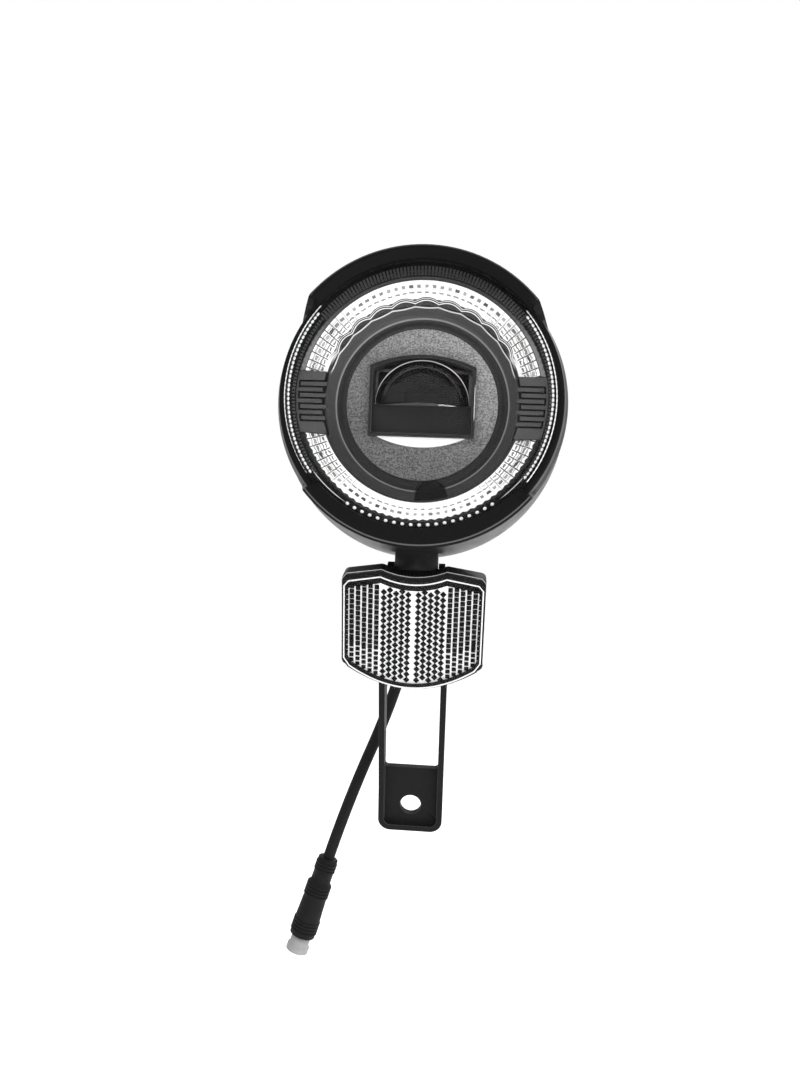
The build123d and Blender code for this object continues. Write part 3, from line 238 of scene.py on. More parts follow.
def dress(tree, shader, colour, rub, height, strength, depth_mm=0.04, normal=None):
    """Gives a shader its colour, its roughness and the bump of a height, over a normal where there is one."""
    tree.links.new(colour, shader.inputs["Base Color"])
    tree.links.new(rub["Roughness"], shader.inputs["Roughness"])
    bump = put(tree, "ShaderNodeBump", {"Strength": strength, "Distance": depth_mm * MM, "Height": height})
    if normal is not None:
        tree.links.new(normal, bump.inputs["Normal"])
    tree.links.new(bump.outputs[0], shader.inputs["Normal"])


def coated(name, dark, light, low, high, grain_mm, bump, specular, edge_mm=0.2, edge_light=0.0, glow=0.0):
    """Moulded or coated stock: a base shade with grain, edges lightened by wear and a painted highlight, and
    handling marks.
    """
    made, tree, shader = finish_of(name, grey(dark), Specular_IOR_Level=specular, Emission_Color=grey(1.0),
                                   Emission_Strength=glow)
    grain = use(tree, GRAIN, Size_mm=grain_mm)
    rub = use(tree, HANDLING, Low=low, High=high)
    edges = use(tree, EDGES, Radius_mm=edge_mm)
    base = mixed(tree, grain["Shade"], grey(dark), grey(light))
    # edges lightened by wear and a painted highlight
    wear_and_edge_highlight = mixed(tree, times(tree, edges["Edge"], edge_light), base, grey(min(1.0, light * 6 + 0.05)))
    dress(tree, shader, wear_and_edge_highlight, rub, grain["Height"], bump, normal=edges["Normal"])
    return made


def metal(name, colour, low, high, grain_mm=0.1, bump=0.2):
    """Plain plated or cast metal."""
    made, tree, shader = finish_of(name, (*colour, 1.0), Metallic=1.0)
    grain = use(tree, GRAIN, Size_mm=grain_mm)
    rub = use(tree, HANDLING, Low=low, High=high, Size_mm=3.0)
    edges = use(tree, EDGES, Radius_mm=0.12)
    darker = tuple(0.7 * part for part in colour) + (1.0,)
    base = mixed(tree, grain["Shade"], darker, (*colour, 1.0))
    dress(tree, shader, base, rub, grain["Height"], bump, 0.03, edges["Normal"])
    return made


# coated and moulded finishes: dark and light shade, low and high roughness, grain in mm, bump, specular
# level, and after them width of the edges in mm, how much wear and a painted highlight lighten them,
# and glow, which is painted light
COATS = {
    "trim_black": (0.006, 0.010, 0.45, 0.6, 0.2, 0.2, 0.12, 0.12, 0.25),
    "rubber_black": (0.006, 0.012, 0.55, 0.7, 0.3, 0.3, 0.1, 0.15, 0.05),
    "bracket_powder_coat": (0.006, 0.011, 0.42, 0.55, 0.35, 0.35, 0.07, 0.3, 0.6),
    "carrier_black": (0.004, 0.009, 0.4, 0.55, 0.25, 0.2, 0.07, 0.2, 0.3),
    "board_solder_mask": (0.05, 0.07, 0.3, 0.4, 0.5, 0.1, 0.4),
    "component_black": (0.02, 0.03, 0.4, 0.55, 0.3, 0.2, 0.3),
    "sleeve_grey": (0.24, 0.30, 0.35, 0.5, 0.3, 0.15, 0.5, 0.15, 0.3),
    "core_black": (0.012, 0.02, 0.5, 0.6, 0.3, 0.2, 0.3),
    "phosphor": (0.3, 0.4, 0.5, 0.6, 0.2, 0.2, 0.4),
    # the glow of lip_white, bead_white, rim_glint and prism_light is painted light; bead_white and rim_glint
    # make painted highlights
    "lip_white": (0.82, 0.92, 0.2, 0.3, 0.4, 0.1, 0.5, 0.1, 0.0, 0.35),
    "rib_grey": (0.055, 0.095, 0.35, 0.5, 0.2, 0.1, 0.25, 0.05),
    "bead_white": (0.8, 0.95, 0.12, 0.2, 0.3, 0.05, 0.6, 0.05, 0.0, 0.35),
    "rim_glint": (0.6, 0.75, 0.12, 0.2, 0.4, 0.05, 0.7, 0.05, 0.0, 0.2),
    "projector_black": (0.018, 0.03, 0.4, 0.55, 0.25, 0.2, 0.15, 0.25, 0.5),
    "prism_dark": (0.004, 0.008, 0.3, 0.4, 0.3, 0.05, 0.06, 0.05),
    "prism_light": (0.85, 0.98, 0.15, 0.3, 0.3, 0.1, 0.6, 0.05, 0.0, 0.25),
    "wire_cover": (0.04, 0.06, 0.4, 0.5, 0.3, 0.1, 0.4),
}
coat = {name: coated(name, *numbers) for name, numbers in COATS.items()}
zinc = metal("zinc_plate", (0.62, 0.63, 0.64), 0.25, 0.42)
steel = metal("plated_steel", (0.42, 0.42, 0.43), 0.28, 0.45)
brass = metal("turned_brass", (0.75, 0.58, 0.3), 0.25, 0.4)
contact = metal("plated_contact", (0.85, 0.68, 0.35), 0.15, 0.25)
cast = metal("cast_aluminium", (0.6, 0.61, 0.63), 0.4, 0.55, grain_mm=0.3, bump=0.5)
# the collector's metal is darkened: painted shade inside the projector
mirror = metal("metallising_with_painted_shade", (0.16, 0.16, 0.17), 0.12, 0.2, grain_mm=0.8, bump=0.05)


def cover_finish(name, alpha, rough):
    """Clear cover: light passes straight through it, and its gloss shows."""
    made, tree, shader = finish_of(name, grey(0.02), Alpha=alpha, Specular_IOR_Level=1.0, IOR=1.5)
    rub = use(tree, HANDLING, Low=rough, High=rough + 0.05, Size_mm=9.0)
    tree.links.new(rub["Roughness"], shader.inputs["Roughness"])
    made.surface_render_method = "BLENDED"
    return made


def optic_finish(name, tint, rough):
    """Clear moulded optic that bends light."""
    made, tree, shader = finish_of(name, (*tint, 1.0), Transmission_Weight=1.0, IOR=1.49)
    rub = use(tree, HANDLING, Low=rough, High=rough + 0.03, Size_mm=4.0)
    tree.links.new(rub["Roughness"], shader.inputs["Roughness"])
    return made


# radii of the rows of marks on the guides, in mm, from the outermost to the innermost
ROW_OUTER = 31.7
ROW_SQUARES = 30.97
ROW_PALE = 30.3
ROW_DASHES = 29.56
ROW_INNER = 28.75
GUIDE_CELLS = 92.0       # prism cells in a full turn
GUIDE_SHIFT = 0.68       # how far they are turned, in cells
LOWER_WHITE = 28.0       # inner edge of the white on the lower guide, mm
SCALLOP_STEP = 13.8      # degrees from one scallop to the next
SCALLOP_SHIFT = 0.23
SCALLOP_HEIGHT = 0.77    # mm


def scallop(tree, turn):
    """A row of arcs that runs along the guide, 1 at the middle of each arc and 0 where two meet."""
    half_turns = math.pi / SCALLOP_STEP
    phase = line(tree, turn, 360.0 * half_turns, SCALLOP_SHIFT - 90.0 * half_turns)
    return calc(tree, "ABSOLUTE", calc(tree, "COSINE", phase))


def guide_marks(tree, polar, near_end):
    """Dark marks in rows and the seams between cells, and how far each place is from its cell's middle."""
    place = put(tree, "ShaderNodeTexCoord").outputs["Object"]
    stir = put(tree, "ShaderNodeTexNoise", {"Vector": place, "Scale": 900.0, "Detail": 2.0}).outputs[0]
    stray = calc(tree, "SUBTRACT", stir, 0.5)
    along = line(tree, stray, line(tree, near_end, -0.15, 0.3),
                 line(tree, polar["Turn"], GUIDE_CELLS, GUIDE_SHIFT))
    radius = line(tree, stray, line(tree, near_end, 0.5, 0.4), polar["Radius"])
    cell = calc(tree, "FLOOR", along)
    chance = put(tree, "ShaderNodeTexWhiteNoise", {"W": cell}, noise_dimensions="1D").outputs[0]
    off = calc(tree, "SUBTRACT", calc(tree, "FRACT", along), 0.5)
    wide = line(tree, chance, 0.1, line(tree, near_end, 0.12, 0.17))
    wider = calc(tree, "ADD", wide, 0.05)
    squares = times(tree, band(tree, off, 0.0, wide, 0.06), band(tree, radius, ROW_SQUARES, 0.28, 0.18),
                    line(tree, chance, 0.4, 0.6))
    dashes = times(tree, band(tree, off, 0.0, wider, 0.08), band(tree, radius, ROW_DASHES, 0.1, 0.16), 0.8)
    pale = times(tree, band(tree, off, 0.1, 0.2, 0.15), band(tree, radius, ROW_PALE, 0.05, 0.12), 0.3)
    seams = times(tree, opposite(tree, band(tree, off, 0.0, 0.38, 0.08)),
                  line(tree, near_end, 0.94, 0.06))
    rings = most(tree, band(tree, radius, ROW_OUTER, 0.12, 0.15), band(tree, radius, ROW_PALE, 0.08, 0.12))
    inner = times(tree, band(tree, off, 0.0, 0.26, 0.08), band(tree, radius, ROW_INNER, 0.14, 0.16), near_end,
                  0.85)
    return most(tree, squares, dashes, pale, seams, times(tree, rings, near_end, 0.6), inner), off


def guide_scallops(tree, turn, radius, up):
    """A painted reflection along the upper guide's inner edge: half-moons, rings and dashes, plain towards
    its ends.
    """
    arcs = scallop(tree, turn)
    level = line(tree, arcs, -SCALLOP_HEIGHT, radius)
    moons = ramp(tree, level, 26.75, 26.6)
    rings = most(tree, band(tree, level, 27.02, 0.13, 0.06), band(tree, level, 27.42, 0.09, 0.07))
    dashes = times(tree, band(tree, radius, 27.72, 0.1, 0.08), ramp(tree, arcs, 0.35, 0.15))
    edge = band(tree, radius, 26.5, 0.12, 0.08)
    shapes = times(tree, most(tree, moons, rings, dashes, edge), ramp(tree, up, 9.0, 15.0))
    plain = times(tree, ramp(tree, radius, 27.35, 27.2), ramp(tree, up, 15.0, 9.0))
    return most(tree, shapes, plain)


def guide_finish():
    """Milky running-light guide: rows of dark marks, seams towards its ends, a scalloped inner edge that is a
    painted reflection, and a glow that is painted light.
    """
    # the emission is painted light that brightens the guide
    made, tree, shader = finish_of("running_light_white", grey(0.86), Specular_IOR_Level=0.5,
                                   Emission_Color=grey(1.0), Emission_Strength=0.38)
    polar = use(tree, POLAR, Raise_mm=0.3)
    inner = use(tree, POLAR, Raise_mm=0.5)["Radius"]
    up = polar["Up"]
    above = ramp(tree, up, -1.0, 1.0)
    below = opposite(tree, above)
    near_end = ramp(tree, calc(tree, "ABSOLUTE", up), 27.0, 17.0)
    marks, off = guide_marks(tree, polar, near_end)
    marks = times(tree, marks, ramp(tree, inner, LOWER_WHITE, LOWER_WHITE + 0.3))
    # painted reflection of scallops along the upper guide's inner edge
    painted_scallop_reflection = times(tree, guide_scallops(tree, polar["Turn"], inner, up), above)
    shade = times(tree, ramp(tree, inner, LOWER_WHITE, LOWER_WHITE - 0.15), below)
    ragged = line(tree, calc(tree, "ABSOLUTE", off), -0.8, inner)
    teeth = times(tree, ramp(tree, ragged, 32.35, 32.5), below)
    dark = calc(tree, "MINIMUM", most(tree, marks, painted_scallop_reflection, shade, teeth), 1.0)
    colour = mixed(tree, dark, grey(0.92), grey(0.02))
    tree.links.new(colour, shader.inputs["Emission Color"])
    pillow = opposite(tree, times(tree, off, off, 4.0))
    rub = use(tree, HANDLING, Low=0.15, High=0.3, Size_mm=3.0)
    dress(tree, shader, colour, rub, pillow, 0.4, 0.3)
    return made


MASK_STEP = 24.0         # radius of the step in the mask, mm
COLLAR_START = 32.5      # radius where the mask's collar starts, mm
STRIP_REACH = 33.2       # outer radius of the collar's pale strip, 29 mm above the axis
STRIP_GROWTH = 0.7 / 21.0    # how much wider the strip gets for each mm downwards


def collar_shade(tree, radius, up):
    """The collar round the mask: black, with a pale strip beside the upper guide that widens downwards."""
    raised = use(tree, POLAR, Raise_mm=0.45)["Radius"]
    reach = line(tree, up, -STRIP_GROWTH, STRIP_REACH + 29.0 * STRIP_GROWTH)
    strip = times(tree, ramp(tree, calc(tree, "SUBTRACT", raised, reach), 0.05, -0.05),
                  ramp(tree, radius, COLLAR_START + 0.25, COLLAR_START + 0.4), ramp(tree, up, 0.0, 6.0))
    shade = mixed(tree, ramp(tree, up, 30.0, 12.0), grey(0.08), grey(0.22))
    return mixed(tree, strip, grey(0.022), shade)


def mask_finish():
    """Satin grey mask, darker low down as painted shade and darker inside its step, with a fine bright line
    on the step that is a painted highlight, and on its wall a painted reflection of the guide's scallops."""
    made, tree, shader = finish_of("mask_satin_grey", grey(0.07), Specular_IOR_Level=0.3)
    polar = use(tree, POLAR)
    radius = polar["Radius"]
    up = polar["Up"]
    grain = use(tree, GRAIN, Size_mm=0.35)
    rub = use(tree, HANDLING, Low=0.38, High=0.5, Size_mm=8.0)
    # darker low down: painted shade
    painted_light_rise = ramp(tree, up, -24.0, 22.0)
    base = mixed(tree, painted_light_rise, grey(0.026), grey(0.072))
    spotted = mixed(tree, times(tree, grain["Shade"], 0.5), base, grey(0.1))
    inside = mixed(tree, painted_light_rise, grey(0.014), grey(0.03))
    stepped = mixed(tree, ramp(tree, radius, MASK_STEP, MASK_STEP - 0.2), spotted, inside)
    # painted highlight: a fine bright line on the step, brighter higher up
    fine = times(tree, band(tree, radius, MASK_STEP + 0.12, 0.16, 0.06), line(tree, painted_light_rise, 0.4, 0.6))
    lined = mixed(tree, fine, stepped, grey(0.3))
    # painted reflection of the guide's scallops on the wall: a bright edge with dark under it
    wavy = line(tree, scallop(tree, polar["Turn"]), 0.26, radius)
    high = ramp(tree, up, 7.0, 9.0)
    edge = times(tree, band(tree, wavy, 26.6, 0.1, 0.06), high)
    under = times(tree, ramp(tree, wavy, 26.7, 26.8), ramp(tree, radius, 27.4, 27.3), high)
    scalloped = mixed(tree, edge, mixed(tree, under, lined, grey(0.008)), grey(0.85))
    on_collar = ramp(tree, radius, COLLAR_START, COLLAR_START + 0.1)
    colour = mixed(tree, on_collar, scalloped, collar_shade(tree, radius, up))
    dress(tree, shader, colour, rub, grain["Height"], 0.3)
    return made


BEZEL_HIGHLIGHT_RADIUS = 39.0        # radius of the bright lines on the hood's edge and on the lip, mm
HOUSING_START = 10.1     # depth of the parting line, mm


def bezel_finish():
    """Black bezel with painted highlight lines on the hood's edge, on the lip and round the side, and edges
    lightened by wear and a painted highlight.
    """
    made, tree, shader = finish_of("bezel_black", grey(0.006), Specular_IOR_Level=0.04)
    polar = use(tree, POLAR)
    radius = polar["Radius"]
    depth = polar["Depth"]
    grain = use(tree, GRAIN, Size_mm=0.2)
    rub = use(tree, HANDLING, Low=0.32, High=0.45)
    edges = use(tree, EDGES, Radius_mm=0.3)
    # painted highlights on the hood's front edge, on the lip's edge and round the bezel's side
    hood = times(tree, ramp(tree, depth, -6.2, -6.5), band(tree, radius, BEZEL_HIGHLIGHT_RADIUS, 0.18, 0.12), 0.35)
    lip = times(tree, ramp(tree, depth, -1.0, -1.4), band(tree, radius, BEZEL_HIGHLIGHT_RADIUS - 0.05, 0.14, 0.12),
                ramp(tree, polar["Up"], -18.0, -22.0), 0.7)
    side = times(tree, band(tree, depth, 1.8, 0.8, 0.6), ramp(tree, radius, 38.0, 38.2), 0.4)
    # edges lightened by wear and a painted highlight
    wear_and_edge_highlight = times(tree, edges["Edge"], 0.12)
    base = mixed(tree, grain["Shade"], grey(0.005), grey(0.009))
    colour = mixed(tree, most(tree, hood, lip, side, wear_and_edge_highlight), base, grey(0.12))
    dress(tree, shader, colour, rub, grain["Height"], 0.15, normal=edges["Normal"])
    return made


def housing_finish():
    """Grained satin black housing whose front edge shows a painted highlight as a fine bright parting line.
    """
    made, tree, shader = finish_of("housing_satin_black", grey(0.015), Specular_IOR_Level=0.7)
    polar = use(tree, POLAR)
    grain = use(tree, GRAIN, Size_mm=0.3)
    rub = use(tree, HANDLING, Low=0.34, High=0.48, Size_mm=7.0)
    edges = use(tree, EDGES, Radius_mm=0.3)
    # painted highlight along the housing's front edge, at the parting line
    parting_highlight = times(tree, ramp(tree, polar["Depth"], HOUSING_START + 0.15, HOUSING_START),
                    ramp(tree, polar["Radius"], 38.6, 38.8))
    base = mixed(tree, grain["Shade"], grey(0.014), grey(0.05))
    # edges lightened by wear and a painted highlight
    wear_and_edge_highlight = mixed(tree, times(tree, edges["Edge"], 0.06), base, grey(0.2))
    colour = mixed(tree, parting_highlight, wear_and_edge_highlight, grey(0.35))
    dress(tree, shader, colour, rub, grain["Height"], 0.7, 0.06, edges["Normal"])
    return made


def plate_finish():
    """Grained grey centre plate, a little lighter towards its top right as painted light."""
    made, tree, shader = finish_of("centre_plate_grain", grey(0.2), Specular_IOR_Level=0.3)
    polar = use(tree, POLAR)
    grain = use(tree, GRAIN, Size_mm=0.32, Stretch=1.3)
    rub = use(tree, HANDLING, Low=0.45, High=0.6, Size_mm=8.0)
    # lighter towards the top right: painted light
    painted_light_rise = ramp(tree, line(tree, polar["Across"], 0.5, polar["Up"]), -20.0, 24.0)
    fleck = ramp(tree, grain["Height"], 0.36, 0.64)
    low = mixed(tree, painted_light_rise, grey(0.06), grey(0.17))
    high = mixed(tree, painted_light_rise, grey(0.2), grey(0.5))
    dress(tree, shader, mixed(tree, fleck, low, high), rub, grain["Height"], 0.5, 0.06)
    return made


GRILLE_FRONT = 3.05      # depth behind which the side grilles are dark, mm


def grille_finish():
    """Dark panel whose raised bars are lighter than its floor and walls, which are near black with painted
    shade.
    """
    made, tree, shader = finish_of("grille_grey", grey(0.03), Specular_IOR_Level=0.3)
    grain = use(tree, GRAIN, Size_mm=0.3)
    rub = use(tree, HANDLING, Low=0.4, High=0.55, Size_mm=5.0)
    edges = use(tree, EDGES, Radius_mm=0.15)
    # behind the bar faces the floor and walls go near black: painted shade
    raised = calc(tree, "LESS_THAN", use(tree, POLAR)["Depth"], GRILLE_FRONT)
    face = mixed(tree, grain["Shade"], grey(0.05), grey(0.095))
    colour = mixed(tree, raised, grey(0.003), face)
    dress(tree, shader, colour, rub, grain["Height"], 0.3, normal=edges["Normal"])
    return made


clear_cover = cover_finish("clear_cover", 0.06, 0.04)
reflector_cover = cover_finish("reflector_cover", 0.06, 0.05)
# the clear optic's grey tint darkens what shows through it: painted shade inside the projector
clear_optic = optic_finish("clear_optic", (0.16, 0.16, 0.17), 0.02)
guide_white = guide_finish()
mask_grey = mask_finish()
plate_grey = plate_finish()
grille_grey = grille_finish()

FINISHES = {
    "rear_housing": housing_finish(), "front_bezel": bezel_finish(), "front_lens": clear_cover,
    "lens_seal": coat["rubber_black"], "rim_ring": coat["trim_black"], "mask_bowl": mask_grey,
    "side_grille_left": grille_grey, "side_grille_right": grille_grey, "light_guide_upper": guide_white,
    "light_guide_lower": guide_white, "ring_board": coat["board_solder_mask"],
    "ring_lights": coat["phosphor"], "ring_board_screws": zinc, "centre_plate": plate_grey,
    "projector_frame": coat["projector_black"],
    "projector_lens": clear_optic, "projector_shade": coat["projector_black"],
    "projector_lip": coat["lip_white"], "sensor_window": coat["trim_black"], "collector": mirror,
    "main_light_source": coat["phosphor"], "main_light_board": coat["board_solder_mask"], "heat_sink": cast,
    "heat_sink_screws": zinc, "driver_board": coat["board_solder_mask"],
    "driver_board_parts": coat["component_black"], "lead_wires": coat["wire_cover"],
    "housing_seal": coat["rubber_black"], "cable_grommet": coat["rubber_black"], "pivot_bush": brass,
    "mounting_bracket": coat["bracket_powder_coat"], "pivot_bolt": steel, "pivot_nut": steel,
    "pivot_washers": steel, "reflector_carrier": coat["carrier_black"], "reflector_lens": reflector_cover,
    "reflector_screw": zinc, "cable": coat["rubber_black"], "connector_overmould": coat["rubber_black"],
    "connector_sleeve": coat["sleeve_grey"], "connector_core": coat["core_black"],
    "connector_pins": contact,
}
for node, finish in FINISHES.items():
    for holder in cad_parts[node].material_slots:
        holder.material = finish


# smooth copies shown in the place of solids, and fine parts added to them

def add_mesh(name, points, faces, finish, smooth=False):
    """A mesh object at the origin whose points are already in place."""
    data = bpy.data.meshes.new(name)
    data.from_pydata([tuple(point) for point in points], [], faces)
    data.update()
    data.materials.append(finish)
    if smooth:
        data.shade_smooth()
    made = bpy.data.objects.new(name, data)
    bpy.context.scene.collection.objects.link(made)
    return made


def turn_outwards(made):
    """Turns all faces of a closed mesh outwards."""
    form = bmesh.new()
    form.from_mesh(made.data)
    bmesh.ops.recalc_face_normals(form, faces=form.faces)
    form.to_mesh(made.data)
    form.free()


def settle(made, body):
    """Puts a finished piece on its body."""
    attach(made, body)


MERGE_DISTANCE = 1e-6    # m


def smooth_copy(node, body, angle):
    """A merged copy of a solid with smooth curved faces and crisp edges, shown in its place."""
    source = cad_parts[node]
    data = source.data.copy()
    data.name = node + "_smooth"
    form = bmesh.new()
    form.from_mesh(data)
    bmesh.ops.remove_doubles(form, verts=form.verts, dist=MERGE_DISTANCE)
    form.to_mesh(data)
    form.free()
    data.shade_smooth()
    data.set_sharp_from_angle(angle=math.radians(angle))
    made = bpy.data.objects.new(node + "_smooth", data)
    bpy.context.scene.collection.objects.link(made)
    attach(made, body)
    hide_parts(node)


def repeat_tree(name, sizes, shape):
    """A geometry tree that lays copies of a small shape and gives them a finish. Sizes are named values."""
    tree = bpy.data.node_groups.new(name, "GeometryNodeTree")
    tree.interface.new_socket("Geometry", in_out="INPUT", socket_type="NodeSocketGeometry")
    for label, value in sizes.items():
        kind = "NodeSocketInt" if isinstance(value, int) else FLOAT
        tree.interface.new_socket(label, in_out="INPUT", socket_type=kind).default_value = value
    tree.interface.new_socket("Finish", in_out="INPUT", socket_type="NodeSocketMaterial")
    tree.interface.new_socket("Geometry", in_out="OUTPUT", socket_type="NodeSocketGeometry")
    given = put(tree, "NodeGroupInput").outputs
    points, turn, scale, copied = shape(tree, given)
    laid = put(tree, "GeometryNodeInstanceOnPoints", {"Points": points, "Instance": copied})
    if turn is not None:
        tree.links.new(turn, laid.inputs["Rotation"])
    if scale is not None:
        tree.links.new(scale, laid.inputs["Scale"])
    real = put(tree, "GeometryNodeRealizeInstances", {0: laid.outputs[0]})
    done = put(tree, "GeometryNodeSetMaterial", {"Geometry": real.outputs[0],
                                                 "Material": given["Finish"]})
    end = put(tree, "NodeGroupOutput")
    tree.links.new(done.outputs[0], end.inputs[0])
    return tree


def grow(name, tree, values, finish, smooth=True):
    """A plain mesh made by a geometry tree with its sizes set."""
    holder = bpy.data.objects.new(name + "_holder", bpy.data.meshes.new(name + "_holder"))
    bpy.context.scene.collection.objects.link(holder)
    modifier = holder.modifiers.new("grow", "NODES")
    modifier.node_group = tree
    sockets = {item.name: item.identifier for item in tree.interface.items_tree if item.in_out == "INPUT"}
    for label, value in values.items():
        modifier[sockets[label]] = value
    modifier[sockets["Finish"]] = finish
    bpy.context.view_layer.update()
    shown = holder.evaluated_get(bpy.context.evaluated_depsgraph_get())
    data = bpy.data.meshes.new_from_object(shown)
    data.name = name
    bpy.data.objects.remove(holder)
    if smooth:
        data.shade_smooth()
    made = bpy.data.objects.new(name, data)
    bpy.context.scene.collection.objects.link(made)
    return made


def arc_points(tree, given):
    """Points on an arc about the lamp's axis, and how far each is turned. Sizes are in mm and degrees."""
    index = put(tree, "GeometryNodeInputIndex").outputs[0]
    step = times(tree, index, given["Step"])
    angle = calc(tree, "RADIANS", calc(tree, "ADD", given["Start"], step))
    radius = times(tree, given["Radius"], MM)
    x = times(tree, calc(tree, "COSINE", angle), radius)
    z = times(tree, calc(tree, "SINE", angle), radius)
    y = times(tree, calc(tree, "ADD", given["Depth"], LAMP_FRONT), MM)
    up = calc(tree, "ADD", z, times(tree, calc(tree, "ADD", given["Raise"], LAMP_AXIS), MM))
    aside = line(tree, given["Aside"], MM, x)
    place = put(tree, "ShaderNodeCombineXYZ", {0: aside, 1: y, 2: up}).outputs[0]
    points = put(tree, "GeometryNodePoints", {"Count": given["Count"], "Position": place}).outputs[0]
    turn = put(tree, "ShaderNodeCombineXYZ", {1: times(tree, angle, -1.0)}).outputs[0]
    return points, turn


ARC_SIZES = {"Count": 10, "Start": 0.0, "Step": 1.0, "Radius": 30.0, "Depth": 0.0, "Raise": 0.0,
             "Aside": 0.0, "Length": 1.0, "Height": 1.0, "Width": 1.0}


def piece_size(tree, given):
    """The size of one copy on an arc: along the radius, deep and across."""
    sizes = [times(tree, given[label], MM) for label in ("Length", "Height", "Width")]
    return put(tree, "ShaderNodeCombineXYZ", dict(enumerate(sizes))).outputs[0]


def block_shape(tree, given):
    """Small blocks, long along the radius."""
    points, turn = arc_points(tree, given)
    cube = put(tree, "GeometryNodeMeshCube", {"Size": piece_size(tree, given), "Vertices X": 2,
                                              "Vertices Y": 2, "Vertices Z": 2}).outputs[0]
    return points, turn, None, cube


def bead_shape(tree, given):
    """Small rounded beads."""
    points, turn = arc_points(tree, given)
    ball = put(tree, "GeometryNodeMeshUVSphere", {"Segments": 8, "Rings": 5, "Radius": 0.5}).outputs[0]
    return points, turn, piece_size(tree, given), ball


BLOCKS = repeat_tree("blocks_on_an_arc", ARC_SIZES, block_shape)
BEADS = repeat_tree("beads_on_an_arc", ARC_SIZES, bead_shape)


def on_arc(name, tree, finish, first, last, step, circle, depth, size):
    """Copies from one angle to another, clockwise from the top, on a circle: radius, aside and raised."""
    radius, aside, raised = circle
    length, height, width = size
    count = int(round((last - first) / step)) + 1
    values = {"Count": count, "Start": 90.0 - first, "Step": -step, "Radius": radius, "Depth": depth,
              "Raise": raised, "Aside": aside, "Length": length, "Height": height, "Width": width}
    settle(grow(name, tree, values, finish, tree == BEADS), "lamp_head")


def round_line(name, path, thick, finish, body, closed=False, fade=0.0):
    """A thin round bead along points in mm. With a fade, its ends get thin over that share of its length."""
    around = 8
    count = len(path)
    points = []
    for index, here in enumerate(path):
        if closed:
            way = path[(index + 1) % count] - path[index - 1]
        else:
            way = path[min(index + 1, count - 1)] - path[max(index - 1, 0)]
        way.normalize()
        side = way.cross(Vector((0, 1, 0)))
        side.normalize()
        out = side.cross(way)
        share = index / (count - 1)
        size = thick / 2
        if fade:
            size *= min(1.0, share / fade, (1 - share) / fade) * 0.9 + 0.1
        for step in range(around):
            bend = 2 * math.pi * step / around
            points.append((here + size * (math.cos(bend) * side + math.sin(bend) * out)) * MM)
    faces = []
    rings = count if closed else count - 1
    for index in range(rings):
        following = (index + 1) % count
        for step in range(around):
            after = (step + 1) % around
            faces.append((index * around + step, index * around + after,
                          following * around + after, following * around + step))
    if not closed:
        faces.append(tuple(range(around)))
        faces.append(tuple(reversed(range((count - 1) * around, count * around))))
    made = add_mesh(name, points, faces, finish, smooth=True)
    turn_outwards(made)
    settle(made, body)


def arc_path(circle, depth, first, last, steps=64):
    """Points in mm on a circle about the lamp, between two angles clockwise from the top."""
    radius, aside, raised = circle
    path = []
    for step in range(steps + 1):
        angle = math.radians(first + (last - first) * step / steps)
        x = aside + radius * math.sin(angle)
        path.append(lamp_point(x, depth, raised + radius * math.cos(angle)) / MM)
    return path


# ribs of the ring under the lens edge, with beads and bright lines that are painted highlights
# circles: radius, how far aside and how far raised from the lamp's axis, mm
TOP_RIB_CIRCLE = (34.75, 0.0, 0.45)
SIDE_RIB_CIRCLE = (34.72, 0.0, 0.45)
BEAD_CIRCLE = (35.75, -0.42, 0.95)
LOW_CIRCLE = (36.2, -0.2, 2.67)
EDGE_CIRCLE = (36.45, -0.33, 0.45)
COLLAR_CIRCLE = (33.38, 0.0, 0.1)
RIB_STEP = 360 / 232     # degrees from one to the next
BEAD_STEP = 1.98
DOT_STEP = 3.63
RIB_DEPTH = 2.48         # mm behind the lamp's front rim
BEAD_DEPTH = 2.28
LINE_DEPTH = 2.3
COLLAR_DEPTH = 2.68
EDGE_DEPTH = 0.22
TOP_RIB = (2.3, 0.5, 0.6)    # size along the radius, deep and across, mm
SIDE_RIB = (0.8, 0.5, 0.5)
BEAD = (0.72, 0.26, 1.12)
EDGE_BEAD = (0.36, 0.26, 1.42)
DOT = (0.9, 0.26, 1.05)
glint = coat["rim_glint"]

for name, first, last, circle, size in [("top", -51.207, 51.207, TOP_RIB_CIRCLE, TOP_RIB),
                                        ("right", 52.759, 127.241, SIDE_RIB_CIRCLE, SIDE_RIB),
                                        ("left", -127.241, -52.759, SIDE_RIB_CIRCLE, SIDE_RIB)]:
    on_arc("rim_ribs_" + name, BLOCKS, coat["rib_grey"], first, last, RIB_STEP, circle,
           RIB_DEPTH, size)
# white beads and dots standing for glints: painted highlights
for name, first, last in [("right", 52.0, 126.0), ("left", 234.0, 308.0)]:
    on_arc("rim_highlight_beads_" + name, BEADS, coat["bead_white"], first, last, BEAD_STEP,
           BEAD_CIRCLE, BEAD_DEPTH, BEAD)
for name, first, last in [("right", 50.0, 125.0), ("left", 235.0, 310.0)]:
    on_arc("lens_edge_highlight_beads_" + name, BEADS, glint, first, last, BEAD_STEP, EDGE_CIRCLE,
           EDGE_DEPTH, EDGE_BEAD)
on_arc("rim_highlight_dots_lower", BEADS, coat["bead_white"], 145.5, 210.8, DOT_STEP, LOW_CIRCLE,
       BEAD_DEPTH, DOT)
